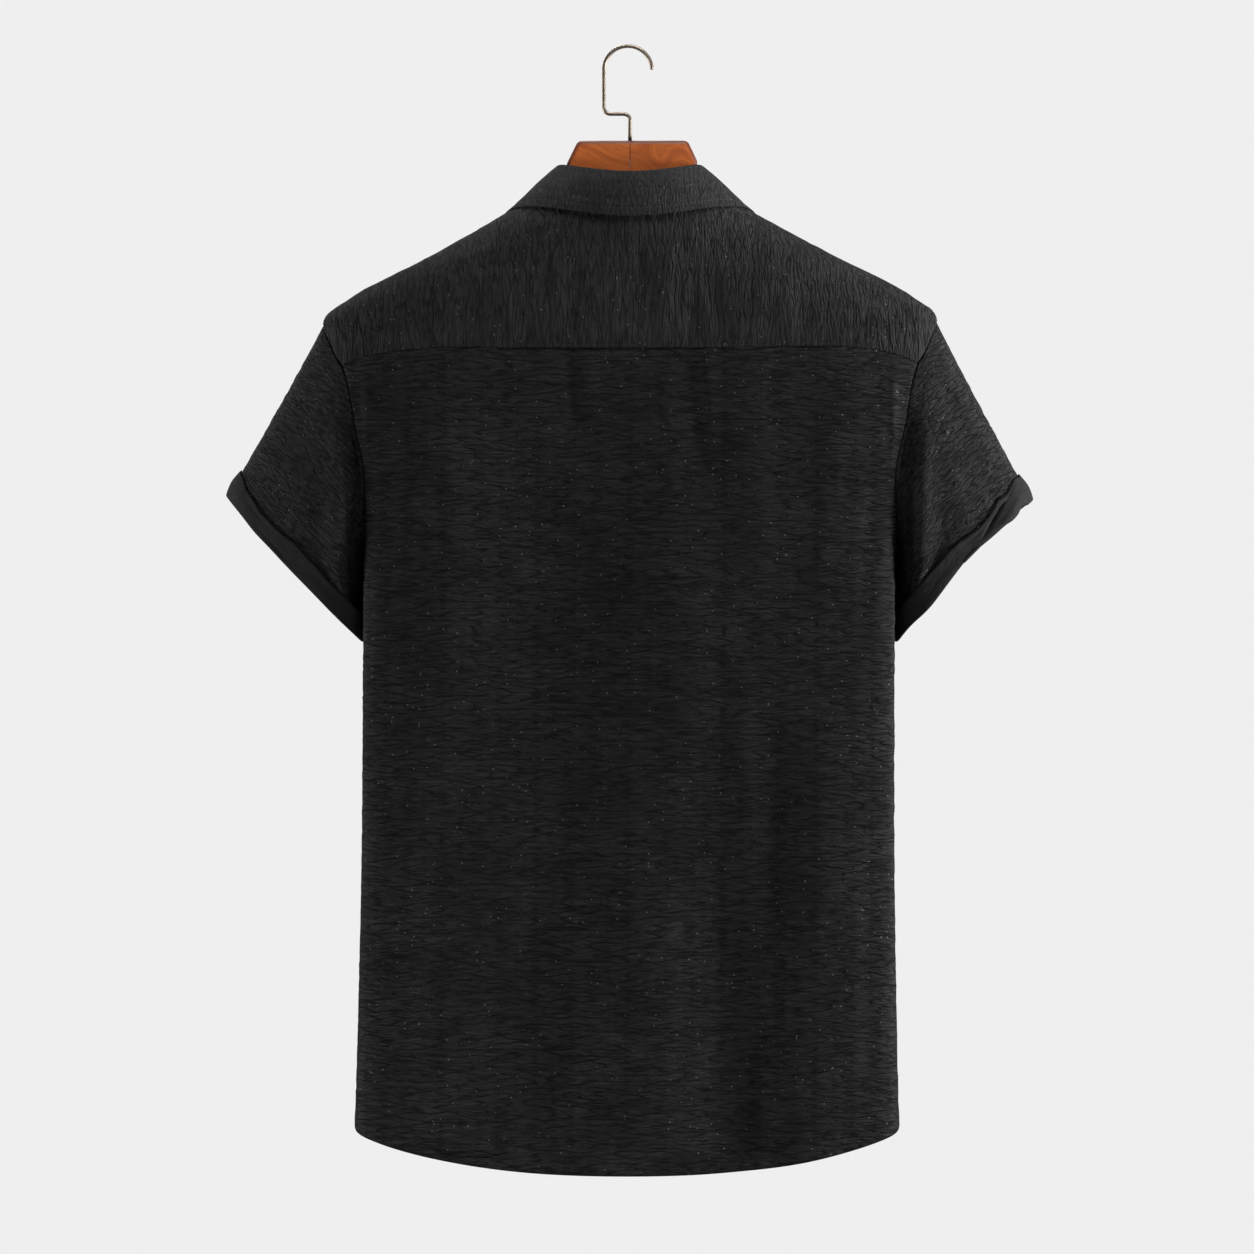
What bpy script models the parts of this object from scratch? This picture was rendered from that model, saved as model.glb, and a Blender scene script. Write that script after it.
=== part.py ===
"""Short sleeve casual shirt hanging on a wooden hanger.

The shirt hangs buttoned, its back towards -Y and its buttoned front towards +Y.
The origin is the inner top of the hook, where a rail would carry it, and +Z is up.
Every length is in millimetres until a mesh is made, and MM turns it into metres.
The torso is one surface of horizontal rings, from the neck seam down to the hem.
Each panel is a stretch of that surface, cut where the real panel has its seams.
"""
import math

import bmesh
import bpy
import numpy as np
from mathutils import Vector

MM = 0.001

# walls and gaps
CLOTH = 1.5
STAND_WALL = 1.8
COLLAR_WALL = 2.0
CUFF_WALL = 2.0
SEAM_GAP = 0.3
BACK_SEAM_GAP = 0.6
FRONT_SEAM_GAP = 0.8
SLEEVE_SEAM_GAP = 0.75
LAYER_GAP = 0.4

# torso rings, all heights measured down from the hook
# down    side   back   front  half   back   front  back  front back  front ease
#         drop   drop   drop   width  depth  depth  round round bend  bend
TORSO_COLUMNS = ("down", "side_drop", "back_drop", "front_drop", "half_width", "back_depth",
                 "front_depth", "back_round", "front_round", "back_bend", "front_bend", "ease")
TORSO_RINGS = (
    (119, 116.5, 127, 185, 76, 60, 62, 2.0, 2.0, 2.0, 1.6, 1.0),
    (140, 131, 145, 197, 100, 62, 66, 2.2, 2.1, 2.0, 1.8, 1.0),
    (175, 164.5, 177, 219, 159, 63, 69, 2.6, 2.3, 2.0, 2.0, 1.0),
    (205, 197, 206, 237, 220, 61, 68, 3.2, 2.7, 2.0, 2.0, 1.0),
    (222, 216, 223, 248, 239, 58, 67, 3.9, 3.1, 4.0, 3.0, 1.0),
    (236, 264, 236, 262, 233, 56, 66, 4.5, 3.6, 10.0, 8.0, 1.0),
    (285, 300, 285, 300, 222, 54, 63, 6.0, 4.5, 6.0, 6.0, 1.0),
    (325, 333, 325, 334, 212, 53, 61, 8.0, 5.2, 4.0, 4.0, 1.0),
    (370, 372, 370, 371, 207, 52, 60, 9.0, 5.6, 2.0, 2.0, 1.0),
    (395, 395, 395, 395, 206, 52, 60, 9.0, 5.6, 2.0, 2.0, 1.0),
    (460, 457, 460, 459, 206, 52, 60, 9.0, 5.4, 2.0, 2.0, 0.8),
    (620, 600, 620, 614, 206.5, 53, 61, 8.5, 5.0, 2.2, 2.2, 0.3),
    (760, 723, 760, 748, 208.5, 55, 62, 8.0, 5.0, 2.3, 2.3, 0.0),
    (875, 823, 875, 862, 211, 57, 63, 7.5, 5.0, 2.6, 2.3, 0.0),
)
NECK = 119
TIP = 222
YOKE_SEAM = 236
UNDERARM = 395
HEM = 875
LEAN_AT_HEM = -2.3
LEAN_FROM = 250
RIGHT_SHOULDER_LIFT = 2.6

# where the armhole leaves each ring: distance before and behind the side line
ARMHOLE_COLUMNS = ("down", "behind", "before")
ARMHOLE = (
    (222, 0, 27),
    (224.5, 25, 31),
    (228, 33, 34),
    (236, 38.5, 39),
    (258, 41, 42),
    (285, 42, 44),
    (325, 44, 45),
    (350, 41, 40),
    (370, 32, 31),
    (385, 19, 19),
    (392, 9, 9),
    (395, 0, 0),
)
YOKE_OVER_FRONT = 30

# columns of a body panel: even ones over its flat face, then some round the corner
CORNER_DEPTH = 0.9
FLAT_COLUMNS = 10
CORNER_COLUMNS = 4

# soft folds that hang from the shoulder blades and the chest, deepest at the hem
FOLD_COLUMNS = ("x", "half_width", "rise", "from_drop")
BACK_FOLDS = (
    (-182, 26, 3.0, 420),
    (-118, 42, -4.0, 330),
    (0, 42, 4.5, 360),
    (86, 26, -4.5, 300),
    (136, 26, 3.5, 430),
)
FRONT_FOLDS = (
    (-150, 32, 3.5, 420),
    (-92, 30, -4.5, 330),
    (-30, 30, 2.5, 500),
    (58, 34, -3.5, 380),
    (112, 34, 4.5, 330),
    (168, 24, -2.5, 460),
)

# front closure
OVERLAP = 15
CLOSURE_COLUMNS = (-OVERLAP, -5, 5, OVERLAP, 24, 33)
UNDERLAP_SINK = 2.1
BUTTON_DROPS = (252, 342, 432, 522, 612, 702)
BUTTON_WIDTH = 11.0
BUTTON_THICK = 2.8
BUTTON_DISH = 0.6
BUTTON_SIDES = 12
STAND_BUTTON_LIFT = 0.9

# collar
STAND_TOP = dict(side_drop=96.0, back_drop=103.5, front_drop=157, half_width=54.5, back_depth=44,
                 front_depth=53, back_round=2.0, front_round=2.0, back_bend=2.0,
                 front_bend=1.6, ease=1.0)
STAND_OVERLAP = 0.13
STAND_ROWS = (0.0, 0.1, 0.35, 0.7, 1.0)
NECK_LIFT = 0.6
FALL_COLUMNS = ("around", "edge_down", "belly", "crest")
FALL = (
    (0.0, 128.5, 7.5, 2.6),
    (0.6, 133.0, 6.5, 2.6),
    (1.0, 141.0, 1.0, 2.6),
    (1.4, 163.0, 8.0, 2.8),
    (1.75, 192.0, 9.0, 3.0),
    (2.0, 205.0, 9.0, 3.0),
)
FALL_LIFT = 3.6
FALL_END_AT_FOLD = 1.93
FALL_END_AT_POINT = 1.66

# sleeves and turned-up cuffs
CUFF_PLACE = {
    "left": dict(tip=(311.5, 0.0, -347.0), inner=(210.2, 0.0, -461.5), sag=2.0),
    "right": dict(tip=(312.0, 0.0, -351.0), inner=(210.2, 0.0, -460.5), sag=-4.5),
}
CUFF_DEPTH = 36.0
SLEEVE_BELLY = 5.0
SLEEVE_CROWN = -0.8
UNDERARM_LIFT = 0.8
CUFF_COLUMNS = ("round_sleeve", "height")
CUFF_HEIGHTS = (
    (0.0, 22.0),
    (0.06, 18.0),
    (0.12, 13.5),
    (0.18, 12.0),
    (0.26, 15.5),
    (0.38, 17.5),
    (0.50, 18.5),
    (0.62, 18.0),
    (0.75, 15.5),
    (0.88, 17.5),
    (1.0, 22.0),
)
CUFF_BELOW_SLEEVE = 1.6

# hanger
HANGER_THICK = 14.0
HANGER_ROUND = 4.0
HANGER_END = 222.0
HANGER_UNDER_CLOTH = 2.8
HANGER_DROPS_AWAY = 2.2
HEAD_PROFILES = {
    "left": ((0.15, -72.5), (38.6, -72.5), (41.2, -74.0), (44.9, -81.5), (48.6, -89.0),
             (50.3, -94.0), (51.3, -103.0), (57.0, -110.5), (66.0, -115.2)),
    "right": ((0.15, -72.5), (42.8, -72.5), (45.6, -74.0), (48.8, -81.5), (51.3, -88.0),
              (51.3, -94.0), (51.3, -103.0), (57.0, -110.5), (66.0, -115.2)),
}
HEAD_TOP = -72.5
NECK_OF_ARM = 66.0
JOINT_SIDE = 0.15
ARM_HEIGHT_INNER = 46.0
ARM_HEIGHT_OUTER = 27.0
ARCH_DROP = -143.0
WIRE = 3.0
WIRE_HOLE_GAP = 0.3
HOOK_CENTRE = (-1.6, -17.2)
HOOK_RADIUS = 18.7
HOOK_ENTRY_DEPTH = 15.0
JOG_DROP = -51.5
JOG_CORNER = 5.0

# colours as linear red, green, blue, then roughness and metallic
BLACK_CLOTH = ((0.0125, 0.0125, 0.013), 0.85, 0.0)
BUTTON_BLACK = ((0.012, 0.012, 0.013), 0.35, 0.0)
RED_WOOD = ((0.36, 0.095, 0.034), 0.38, 0.0)
BROWN_METAL = ((0.23, 0.19, 0.17), 0.3, 1.0)


def smooth_values(keys, values, at):
    """Monotone cubic curve through a table's column, so that it never overshoots."""
    keys = np.asarray(keys, float)
    values = np.asarray(values, float)
    step = np.diff(keys)
    slope = np.diff(values) / step
    tangent = np.zeros(len(keys))
    tangent[0], tangent[-1] = slope[0], slope[-1]
    for i in range(1, len(keys) - 1):
        if slope[i - 1] * slope[i] > 0:
            tangent[i] = 2.0 / (1.0 / slope[i - 1] + 1.0 / slope[i])
    at = min(max(at, keys[0]), keys[-1])
    i = min(int(np.searchsorted(keys, at, side="right")) - 1, len(step) - 1)
    t = (at - keys[i]) / step[i]
    low = (1 + 2 * t) * (1 - t) ** 2 * values[i] + t * (1 - t) ** 2 * step[i] * tangent[i]
    high = t * t * (3 - 2 * t) * values[i + 1] + t * t * (t - 1) * step[i] * tangent[i + 1]
    return low + high


def table_row(columns, table, at):
    """All columns of a table at one value of its first column, as a dictionary."""
    keys = [row[0] for row in table]
    row = {columns[0]: at}
    for c in range(1, len(columns)):
        row[columns[c]] = smooth_values(keys, [line[c] for line in table], at)
    return row


def ease_step(low, high, value):
    t = min(max((value - low) / (high - low), 0.0), 1.0)
    return t * t * (3 - 2 * t)


class Ring:
    """One loop round the body. around runs 0 at centre back, 1 at the side, 2 at centre front."""

    samples = 160

    def __init__(self, sizes):
        self.sizes = sizes
        self.quarters = {}
        for side in ("back", "front"):
            power = 2.0 / sizes[side + "_round"]
            angle = np.linspace(0, math.pi / 2, self.samples)
            x = sizes["half_width"] * np.sin(angle) ** power
            y = sizes[side + "_depth"] * np.cos(angle) ** power
            length = np.concatenate(([0.0], np.cumsum(np.hypot(np.diff(x), np.diff(y)))))
            self.quarters[side] = (x, y, length)

    def length(self, side):
        return self.quarters[side][2][-1]

    def share_at_depth(self, side, depth):
        """How far round the quarter, from the centre, the ring is still this deep."""
        x, y, length = self.quarters[side]
        return float(np.interp(-depth, -y, length)) / length[-1]

    def point(self, around):
        turn = 1.0 if around >= 0 else -1.0
        share = abs(around)
        side = "back"
        if share > 1:
            side = "front"
            share = 2 - share
            if share < 0:
                turn = -turn
                share = -share
        x, y, length = self.quarters[side]
        reach = share * length[-1]
        across = float(np.interp(reach, length, x)) * turn
        deep = float(np.interp(reach, length, y)) * (-1 if side == "back" else 1)
        bend = self.sizes[side + "_bend"]
        weight = share ** bend * (1 + self.sizes["ease"] * bend * (1 - share))
        centre = self.sizes[side + "_drop"]
        drop = centre + (self.sizes["side_drop"] - centre) * weight
        return np.array((across, deep, -drop))


RING_CACHE = {}


def torso_ring(down):
    key = round(down, 4)
    if key not in RING_CACHE:
        RING_CACHE[key] = Ring(table_row(TORSO_COLUMNS, TORSO_RINGS, down))
    return RING_CACHE[key]


def torso(around, down):
    """A point on the outside of the body of the shirt, with its hanging folds."""
    point = torso_ring(down).point(around)
    drop = -point[2]
    folds = BACK_FOLDS if abs(around) <= 1 else FRONT_FOLDS
    outward = -1 if abs(around) <= 1 else 1
    side_fade = ease_step(0.0, 0.35, abs(1 - abs(around)))
    for x, half_width, rise, from_drop in folds:
        bump = math.exp(-((point[0] - x) / half_width) ** 2)
        grown = ease_step(from_drop, HEM, drop)
        point[1] += outward * rise * bump * grown * side_fade
    point[0] += LEAN_AT_HEM * ease_step(LEAN_FROM, HEM, drop)
    point[2] += RIGHT_SHOULDER_LIFT * ease_step(60, 190, point[0]) * (1 - ease_step(215, 320, drop))
    return point


def torso_normal(around, down):
    step = 0.012
    along = torso(around + step, down) - torso(around - step, down)
    below = torso(around, min(down + 2, HEM)) - torso(around, max(down - 2, NECK))
    normal = np.cross(along, -below)
    centre = np.array((0.0, 0.0, torso(around, down)[2]))
    if np.dot(normal, torso(around, down) - centre) < 0:
        normal = -normal
    return normal / np.linalg.norm(normal)


def armhole_share(side, down):
    """The quarter's share, from the centre, at which the armhole begins on a ring."""
    if down >= UNDERARM:
        return 1.0
    row = table_row(ARMHOLE_COLUMNS, ARMHOLE, down)
    depth = row["behind" if side == "back" else "before"]
    return torso_ring(down).share_at_depth(side, depth)


def front_seam_share(down):
    """Where the front yoke seam crosses a ring: a fixed way in front of the shoulder line."""
    length = torso_ring(down).length("front")
    plain = YOKE_OVER_FRONT / length
    near_tip = (1 - armhole_share("front", TIP)) * torso_ring(TIP).length("front") / length
    blend = ease_step(TIP - 60, TIP, down)
    return plain * (1 - blend) + near_tip * blend


def spread(first, last, count, power=1.0):
    return [first + (last - first) * (i / (count - 1)) ** power for i in range(count)]


def grid_mesh(mesh, grid, closed=False):
    """Adds a grid of points to a bmesh as quads, row by row."""
    rows = [[mesh.verts.new(Vector(p) * MM) for p in line] for line in grid]
    for upper, lower in zip(rows, rows[1:]):
        count = len(upper)
        for c in range(count if closed else count - 1):
            n = (c + 1) % count
            mesh.faces.new((upper[c], upper[n], lower[n], lower[c]))
    return rows


def material(name, look):
    made = bpy.data.materials.new(name)
    made.use_nodes = True
    shader = made.node_tree.nodes["Principled BSDF"]
    colour, roughness, metallic = look
    shader.inputs["Base Color"].default_value = (*colour, 1)
    shader.inputs["Roughness"].default_value = roughness
    shader.inputs["Metallic"].default_value = metallic
    made.diffuse_color = (*colour, 1)
    return made


def add_object(name, mesh_data, look, collection):
    made = bpy.data.objects.new(name, mesh_data)
    made.data.materials.append(material(name + "_finish", look))
    collection.objects.link(made)
    return made


def cloth_object(name, bm, wall, collection, outside):
    """An open sheet becomes a wall: its points are the outside, and it grows inwards."""
    bmesh.ops.remove_doubles(bm, verts=bm.verts, dist=0.00001)
    bmesh.ops.recalc_face_normals(bm, faces=bm.faces)
    bm.faces.ensure_lookup_table()
    face = max(bm.faces, key=lambda f: f.calc_area())
    if face.normal.dot(outside(face.calc_center_median() / MM)) < 0:
        bmesh.ops.reverse_faces(bm, faces=bm.faces)
    data = bpy.data.meshes.new(name)
    bm.to_mesh(data)
    bm.free()
    data.shade_smooth()
    made = add_object(name, data, BLACK_CLOTH, collection)
    shell = made.modifiers.new("wall", "SOLIDIFY")
    shell.thickness = wall * MM
    shell.offset = -1
    shell.use_even_offset = False
    return made


def away_from_axis(centre):
    return Vector((centre[0], centre[1], 0))


# ---- body panels ----

def body_rows():
    upper = spread(YOKE_SEAM + BACK_SEAM_GAP, 325, 5)
    arm = [345, 362, 376, 388, UNDERARM]
    lower = spread(UNDERARM, HEM, 11)[1:]
    return upper + arm + lower


def corner_share(side, down):
    """Where a ring starts to turn the corner from its flat face to its narrow side."""
    ring = torso_ring(down)
    return ring.share_at_depth(side, CORNER_DEPTH * ring.sizes[side + "_depth"])


def face_columns(side, down, end):
    """Shares for the columns of half a panel: even over the flat, then round the corner."""
    corner = min(corner_share(side, down), end - 0.01)
    flat = spread(0, corner, FLAT_COLUMNS + 1)
    return flat + spread(corner, end, CORNER_COLUMNS + 1)[1:]


def side_gap(down):
    return 0.5 * SEAM_GAP / torso_ring(down).length("back")


def make_back(collection):
    grid = []
    for down in body_rows():
        end = armhole_share("back", down) - side_gap(down)
        half = face_columns("back", down, end)
        columns = [-share for share in reversed(half[1:])] + half
        grid.append([torso(around, down) for around in columns])
    bm = bmesh.new()
    grid_mesh(bm, grid)
    cloth_object("back_panel", bm, CLOTH, collection, away_from_axis)


def make_yoke(collection):
    columns = 29
    over_columns = 5
    shoulder_rows = spread(NECK, TIP, 8)
    lower_rows = [224.5, 228, 232, YOKE_SEAM]
    bm = bmesh.new()
    grid = []
    for down in shoulder_rows + lower_rows:
        end = 1.0 if down <= TIP else armhole_share("back", down)
        grid.append([torso(end * (2 * c / (columns - 1) - 1), down) for c in range(columns)])
    grid_mesh(bm, grid)
    for turn in (-1, 1):
        grid = []
        for down in shoulder_rows:
            reach = front_seam_share(down)
            grid.append([torso(turn * (1 + reach * c / (over_columns - 1)), down)
                         for c in range(over_columns)])
        grid_mesh(bm, grid)
    cloth_object("back_yoke", bm, CLOTH, collection, lambda c: Vector((0, c[1], 100)))


def front_point(turn, around, down):
    """Fronts meet with the left on top; the right sinks under it along the closure."""
    point = torso(turn * around, down)
    if turn > 0:
        sink = UNDERLAP_SINK * (1 - ease_step(OVERLAP + 3, OVERLAP + 16, point[0]))
        point = point - torso_normal(turn * around, down) * sink
    return point


def make_front(turn, name, collection):
    columns = 11
    shoulder_rows = spread(NECK, TIP, 8)
    rows = shoulder_rows + [228] + body_rows()
    grid = []
    for down in rows:
        ring = torso_ring(down)
        if down <= TIP:
            end = 1 - front_seam_share(down)
        else:
            end = armhole_share("front", down)
        end -= FRONT_SEAM_GAP / ring.length("front")
        if down > UNDERARM:
            end = 1 - side_gap(down)
        closure = [at / ring.length("front") for at in CLOSURE_COLUMNS]
        if down > TIP:
            corner = min(corner_share("front", down), end - 0.01)
            beyond = spread(closure[-1], corner, columns - CORNER_COLUMNS + 1)[1:]
            beyond += spread(corner, end, CORNER_COLUMNS + 1)[1:]
        else:
            beyond = spread(closure[-1], end, columns + 1)[1:]
        grid.append([front_point(turn, 2 - share, down) for share in closure + beyond])
    bm = bmesh.new()
    grid_mesh(bm, grid)
    cloth_object(name, bm, CLOTH, collection, away_from_axis)


# ---- sleeves ----

def armhole_loop(turn, count):
    """Points round one armhole, from the shoulder tip down the back and up the front."""
    downs = [row[0] for row in ARMHOLE]
    fine = [a + (b - a) * k / 4 for a, b in zip(downs, downs[1:]) for k in range(4)] + [UNDERARM]
    keys = [(armhole_share("back", d), d) for d in fine]
    keys += [(2 - armhole_share("front", d), d) for d in reversed(fine[:-1])]
    start = keys[-1][0]
    keys += [(start + (1 - start) * k / 6, TIP) for k in range(1, 6)]
    centre = np.array((turn * 215.0, 0.0, -310.0))
    points, lifted = [], []
    for around, down in keys:
        points.append(torso(turn * around, down))
        lifted.append(torso_normal(turn * around, down))
    points = np.array(points)
    lifted = np.array(lifted)
    before = np.roll(points, 1, axis=0)
    after = np.roll(points, -1, axis=0)
    tangent = after - before
    inward = np.cross(lifted, tangent)
    inward /= np.linalg.norm(inward, axis=1)[:, None]
    flip = np.sum(inward * (centre - points), axis=1) < 0
    inward[flip] *= -1
    under = np.array([ease_step(300, 380, -p[2]) for p in points])[:, None]
    moved = points + inward * SLEEVE_SEAM_GAP + lifted * UNDERARM_LIFT * under
    bottom = len(fine) - 1
    return resample_halves(moved, bottom, count)


def resample_halves(points, bottom, count):
    """Evenly spaced points on each half of a loop, with its top and bottom points kept."""
    half = count // 2
    loop = np.vstack((points, points[:1]))
    out = []
    for part in (loop[:bottom + 1], loop[bottom:]):
        length = np.concatenate(([0.0], np.cumsum(np.linalg.norm(np.diff(part, axis=0), axis=1))))
        for k in range(half):
            at = length[-1] * k / half
            out.append([np.interp(at, length, part[:, i]) for i in range(3)])
    return np.array(out)


def cuff_loop(turn, place, count):
    """The sleeve's open end: an oval hung from its tip, longer or shorter at its flat sides."""
    tip = np.array(place["tip"])
    inner = np.array(place["inner"])
    down_sleeve = np.array((inner[2] - tip[2], 0.0, tip[0] - inner[0]))
    down_sleeve /= -np.linalg.norm(down_sleeve)
    middle = (tip + inner) / 2
    reach = (tip - inner) / 2
    out = []
    for k in range(count):
        angle = 2 * math.pi * k / count
        point = middle + reach * math.cos(angle)
        point[1] = -CUFF_DEPTH * math.copysign(abs(math.sin(angle)) ** 0.85, math.sin(angle))
        point += down_sleeve * place["sag"] * math.sin(angle) ** 2
        point[0] *= turn
        out.append(point)
    return np.array(out)


def sleeve_point(armhole, cuff, index, along):
    """along is 0 at the armhole and 1 at the sleeve's end, and may run a little past it."""
    share = index / len(armhole)
    swell = math.sin(math.pi * min(along, 1))
    point = armhole[index] * (1 - along) + cuff[index] * along
    point[1] -= math.sin(2 * math.pi * share) * SLEEVE_BELLY * swell
    crown = max(0.0, math.cos(2 * math.pi * share)) * SLEEVE_CROWN * swell
    return point + np.array((math.copysign(1.0, point[0]) * crown, 0.0, crown * 0.5))


def sleeve_normals(grid, turn):
    """Outward directions at the points of a tube of rings."""
    rows = np.array(grid)
    along = np.gradient(rows, axis=0)
    ahead = np.roll(rows, -1, axis=1) - np.roll(rows, 1, axis=1)
    normal = np.cross(along, ahead)
    normal /= np.linalg.norm(normal, axis=2)[:, :, None]
    middle = rows.mean(axis=1)[:, None, :]
    if np.sum(normal * (rows - middle)) < 0:
        normal = -normal
    return normal


def make_sleeve(turn, side, collection):
    count = 32
    armhole = armhole_loop(turn, count)
    cuff = cuff_loop(turn, CUFF_PLACE[side], count)
    grid = [[sleeve_point(armhole, cuff, k, a) for k in range(count)] for a in spread(0, 1, 10)]
    bm = bmesh.new()
    grid_mesh(bm, grid, closed=True)
    middle = Vector((turn * 250, 0, -330))
    cloth_object("sleeve_" + side, bm, CLOTH, collection, lambda c: Vector(c) - middle)

    lengths = np.linalg.norm(cuff - armhole, axis=1)
    keys = [row[0] for row in CUFF_HEIGHTS]
    heights = [row[1] for row in CUFF_HEIGHTS]
    rows = 5
    band = []
    for r in range(rows):
        line = []
        for k in range(count):
            height = smooth_values(keys, heights, k / count)
            start = 1 - height / lengths[k]
            end = 1 + CUFF_BELOW_SLEEVE / lengths[k]
            line.append(sleeve_point(armhole, cuff, k, start + (end - start) * r / (rows - 1)))
        band.append(line)
    outward = sleeve_normals(band, turn)
    band = np.array(band) + outward * (CUFF_WALL + LAYER_GAP)
    bm = bmesh.new()
    grid_mesh(bm, band, closed=True)
    low = Vector((turn * 260, 0, -400))
    cloth_object("cuff_" + side, bm, CUFF_WALL, collection, lambda c: Vector(c) - low)


# ---- collar ----

def neck_point(around):
    """The neck seam, a hair above the yoke and the fronts."""
    point = torso_ring(NECK).point(around)
    return point + np.array((0, 0, SEAM_GAP + NECK_LIFT))


def collar_sink(around):
    """The right end of the stand tucks under the left end at centre front."""
    past = around - (2 - STAND_OVERLAP * 1.3)
    return ease_step(0.0, STAND_OVERLAP * 0.8, past) * (STAND_WALL + LAYER_GAP)


def stand_point(around, height):
    low = neck_point(around)
    high = Ring(STAND_TOP).point(around)
    lean = height ** 1.4
    point = low * (1 - lean) + high * lean
    point[2] = low[2] * (1 - height) + high[2] * height
    flat = np.array((point[0], point[1], 0.0))
    flat /= np.linalg.norm(flat)
    return point - flat * collar_sink(around)


def make_stand(collection):
    columns = 45
    reach = 2 + STAND_OVERLAP
    grid = []
    for height in STAND_ROWS:
        grid.append([stand_point(reach * (2 * c / (columns - 1) - 1), height)
                     for c in range(columns)])
    bm = bmesh.new()
    grid_mesh(bm, grid)
    cloth_object("collar_stand", bm, STAND_WALL, collection, away_from_axis)


def fall_section(share, rows):
    """One line of the collar fall, from the fold over the stand down to its edge."""
    turn = 1 if share >= 0 else -1
    fold_at = FALL_END_AT_FOLD * abs(share)
    edge_at = FALL_END_AT_POINT * abs(share)
    sizes = table_row(FALL_COLUMNS, FALL, edge_at)
    root = stand_point(turn * min(fold_at, 2 - STAND_OVERLAP * 1.3), 1.0)
    if fold_at > 2 - STAND_OVERLAP * 1.3:
        root = Ring(STAND_TOP).point(turn * fold_at)
    out = np.array((root[0], root[1], 0.0))
    out /= np.linalg.norm(out)
    up = np.array((0.0, 0.0, 1.0))
    edge = torso(turn * edge_at, sizes["edge_down"])
    edge = edge + torso_normal(turn * edge_at, sizes["edge_down"]) * FALL_LIFT
    crest = sizes["crest"]
    inner = root - out * (STAND_WALL - 0.2) + up * (COLLAR_WALL + SEAM_GAP + 0.15)
    top = root + out * 0.6 + up * (COLLAR_WALL + crest)
    shoulder = root + out * (COLLAR_WALL + 3.4) + up * (crest - 1.2)
    control = (shoulder + edge) / 2 + (out + up * 0.6) * sizes["belly"]
    line = [inner, top]
    for k in range(rows):
        t = k / (rows - 1)
        line.append(shoulder * (1 - t) ** 2 + control * 2 * t * (1 - t) + edge * t * t)
    return line


def make_collar(collection):
    columns = 45
    sections = [fall_section(2 * c / (columns - 1) - 1, 6) for c in range(columns)]
    grid = [[section[r] for section in sections] for r in range(len(sections[0]))]
    bm = bmesh.new()
    grid_mesh(bm, grid)
    cloth_object("collar", bm, COLLAR_WALL, collection, lambda c: Vector((c[0], c[1], 60)))


# ---- buttons ----

def make_button(name, place, normal, collection):
    """A dished disc on the cloth, turned to lie on it."""
    radius = BUTTON_WIDTH / 2
    rim = BUTTON_THICK - BUTTON_DISH
    profile = ((0.0, rim), (radius * 0.55, rim), (radius * 0.72, BUTTON_THICK),
               (radius * 0.9, BUTTON_THICK), (radius, rim * 0.8), (radius * 0.88, 0.0), (0.0, 0.0))
    bm = bmesh.new()
    points = [bm.verts.new((x * MM, 0, z * MM)) for x, z in profile]
    for a, b in zip(points, points[1:]):
        bm.edges.new((a, b))
    data = bpy.data.meshes.new(name)
    bm.to_mesh(data)
    bm.free()
    made = add_object(name, data, BUTTON_BLACK, collection)
    turned = made.modifiers.new("turned", "SCREW")
    turned.steps = BUTTON_SIDES
    turned.render_steps = BUTTON_SIDES
    turned.use_merge_vertices = True
    turned.merge_threshold = 0.00001
    turned.use_normal_calculate = True
    made.location = Vector(place) * MM
    made.rotation_mode = "QUATERNION"
    made.rotation_quaternion = Vector(normal).to_track_quat("Z", "Y")


def make_buttons(collection):
    places = []
    for drop in BUTTON_DROPS:
        places.append((front_point(-1, 2.0, drop), torso_normal(2.0, drop)))
    low = stand_point(-2.0, 0.25)
    high = stand_point(-2.0, 0.75)
    across = np.array((1.0, 0.0, 0.0))
    normal = np.cross(high - low, across)
    normal /= np.linalg.norm(normal) * (1 if normal[1] > 0 else -1)
    places.append(((low + high) / 2 + normal * STAND_BUTTON_LIFT, normal))
    for i, (place, normal) in enumerate(places):
        make_button(f"button_{i + 1}", place + normal * LAYER_GAP, normal, collection)


# ---- hanger ----

def ridge_drop(x):
    """Height of the shoulder line's outside above one side place."""
    downs = np.linspace(NECK, TIP, 60)
    widths = [torso_ring(d).sizes["half_width"] for d in downs]
    drops = [torso_ring(d).sizes["side_drop"] for d in downs]
    return -float(np.interp(x, widths, drops))


def arm_top(x):
    """The arm follows the shoulder line, a little further below it towards its end."""
    share = max(0.0, (x - NECK_OF_ARM) / (HANGER_END - NECK_OF_ARM))
    return ridge_drop(x) - HANGER_UNDER_CLOTH - HANGER_DROPS_AWAY * share ** 2


def hanger_outline(side):
    top = list(HEAD_PROFILES[side])
    for x in spread(76, HANGER_END - 12, 9):
        top.append((x, arm_top(x)))
    tip_top = top[-1][1]
    centre = (HANGER_END - 12, tip_top - ARM_HEIGHT_OUTER / 2)
    end = []
    for k in range(1, 6):
        angle = math.radians(62 - 30 * k)
        end.append((centre[0] + 12 * math.cos(angle), centre[1] + 13.5 * math.sin(angle)))
    bottom = []
    for x in spread(HANGER_END - 20, 76, 7):
        share = (x - 76) / (HANGER_END - 96)
        height = ARM_HEIGHT_INNER + (ARM_HEIGHT_OUTER - ARM_HEIGHT_INNER) * share
        bottom.append((x, arm_top(x) - height))
    under_neck = bottom[-1][1]
    for x in (56, 36, 18, JOINT_SIDE):
        share = (x / 76) ** 2
        bottom.append((x, ARCH_DROP + (under_neck - ARCH_DROP) * share))
    return top + end + bottom


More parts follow.
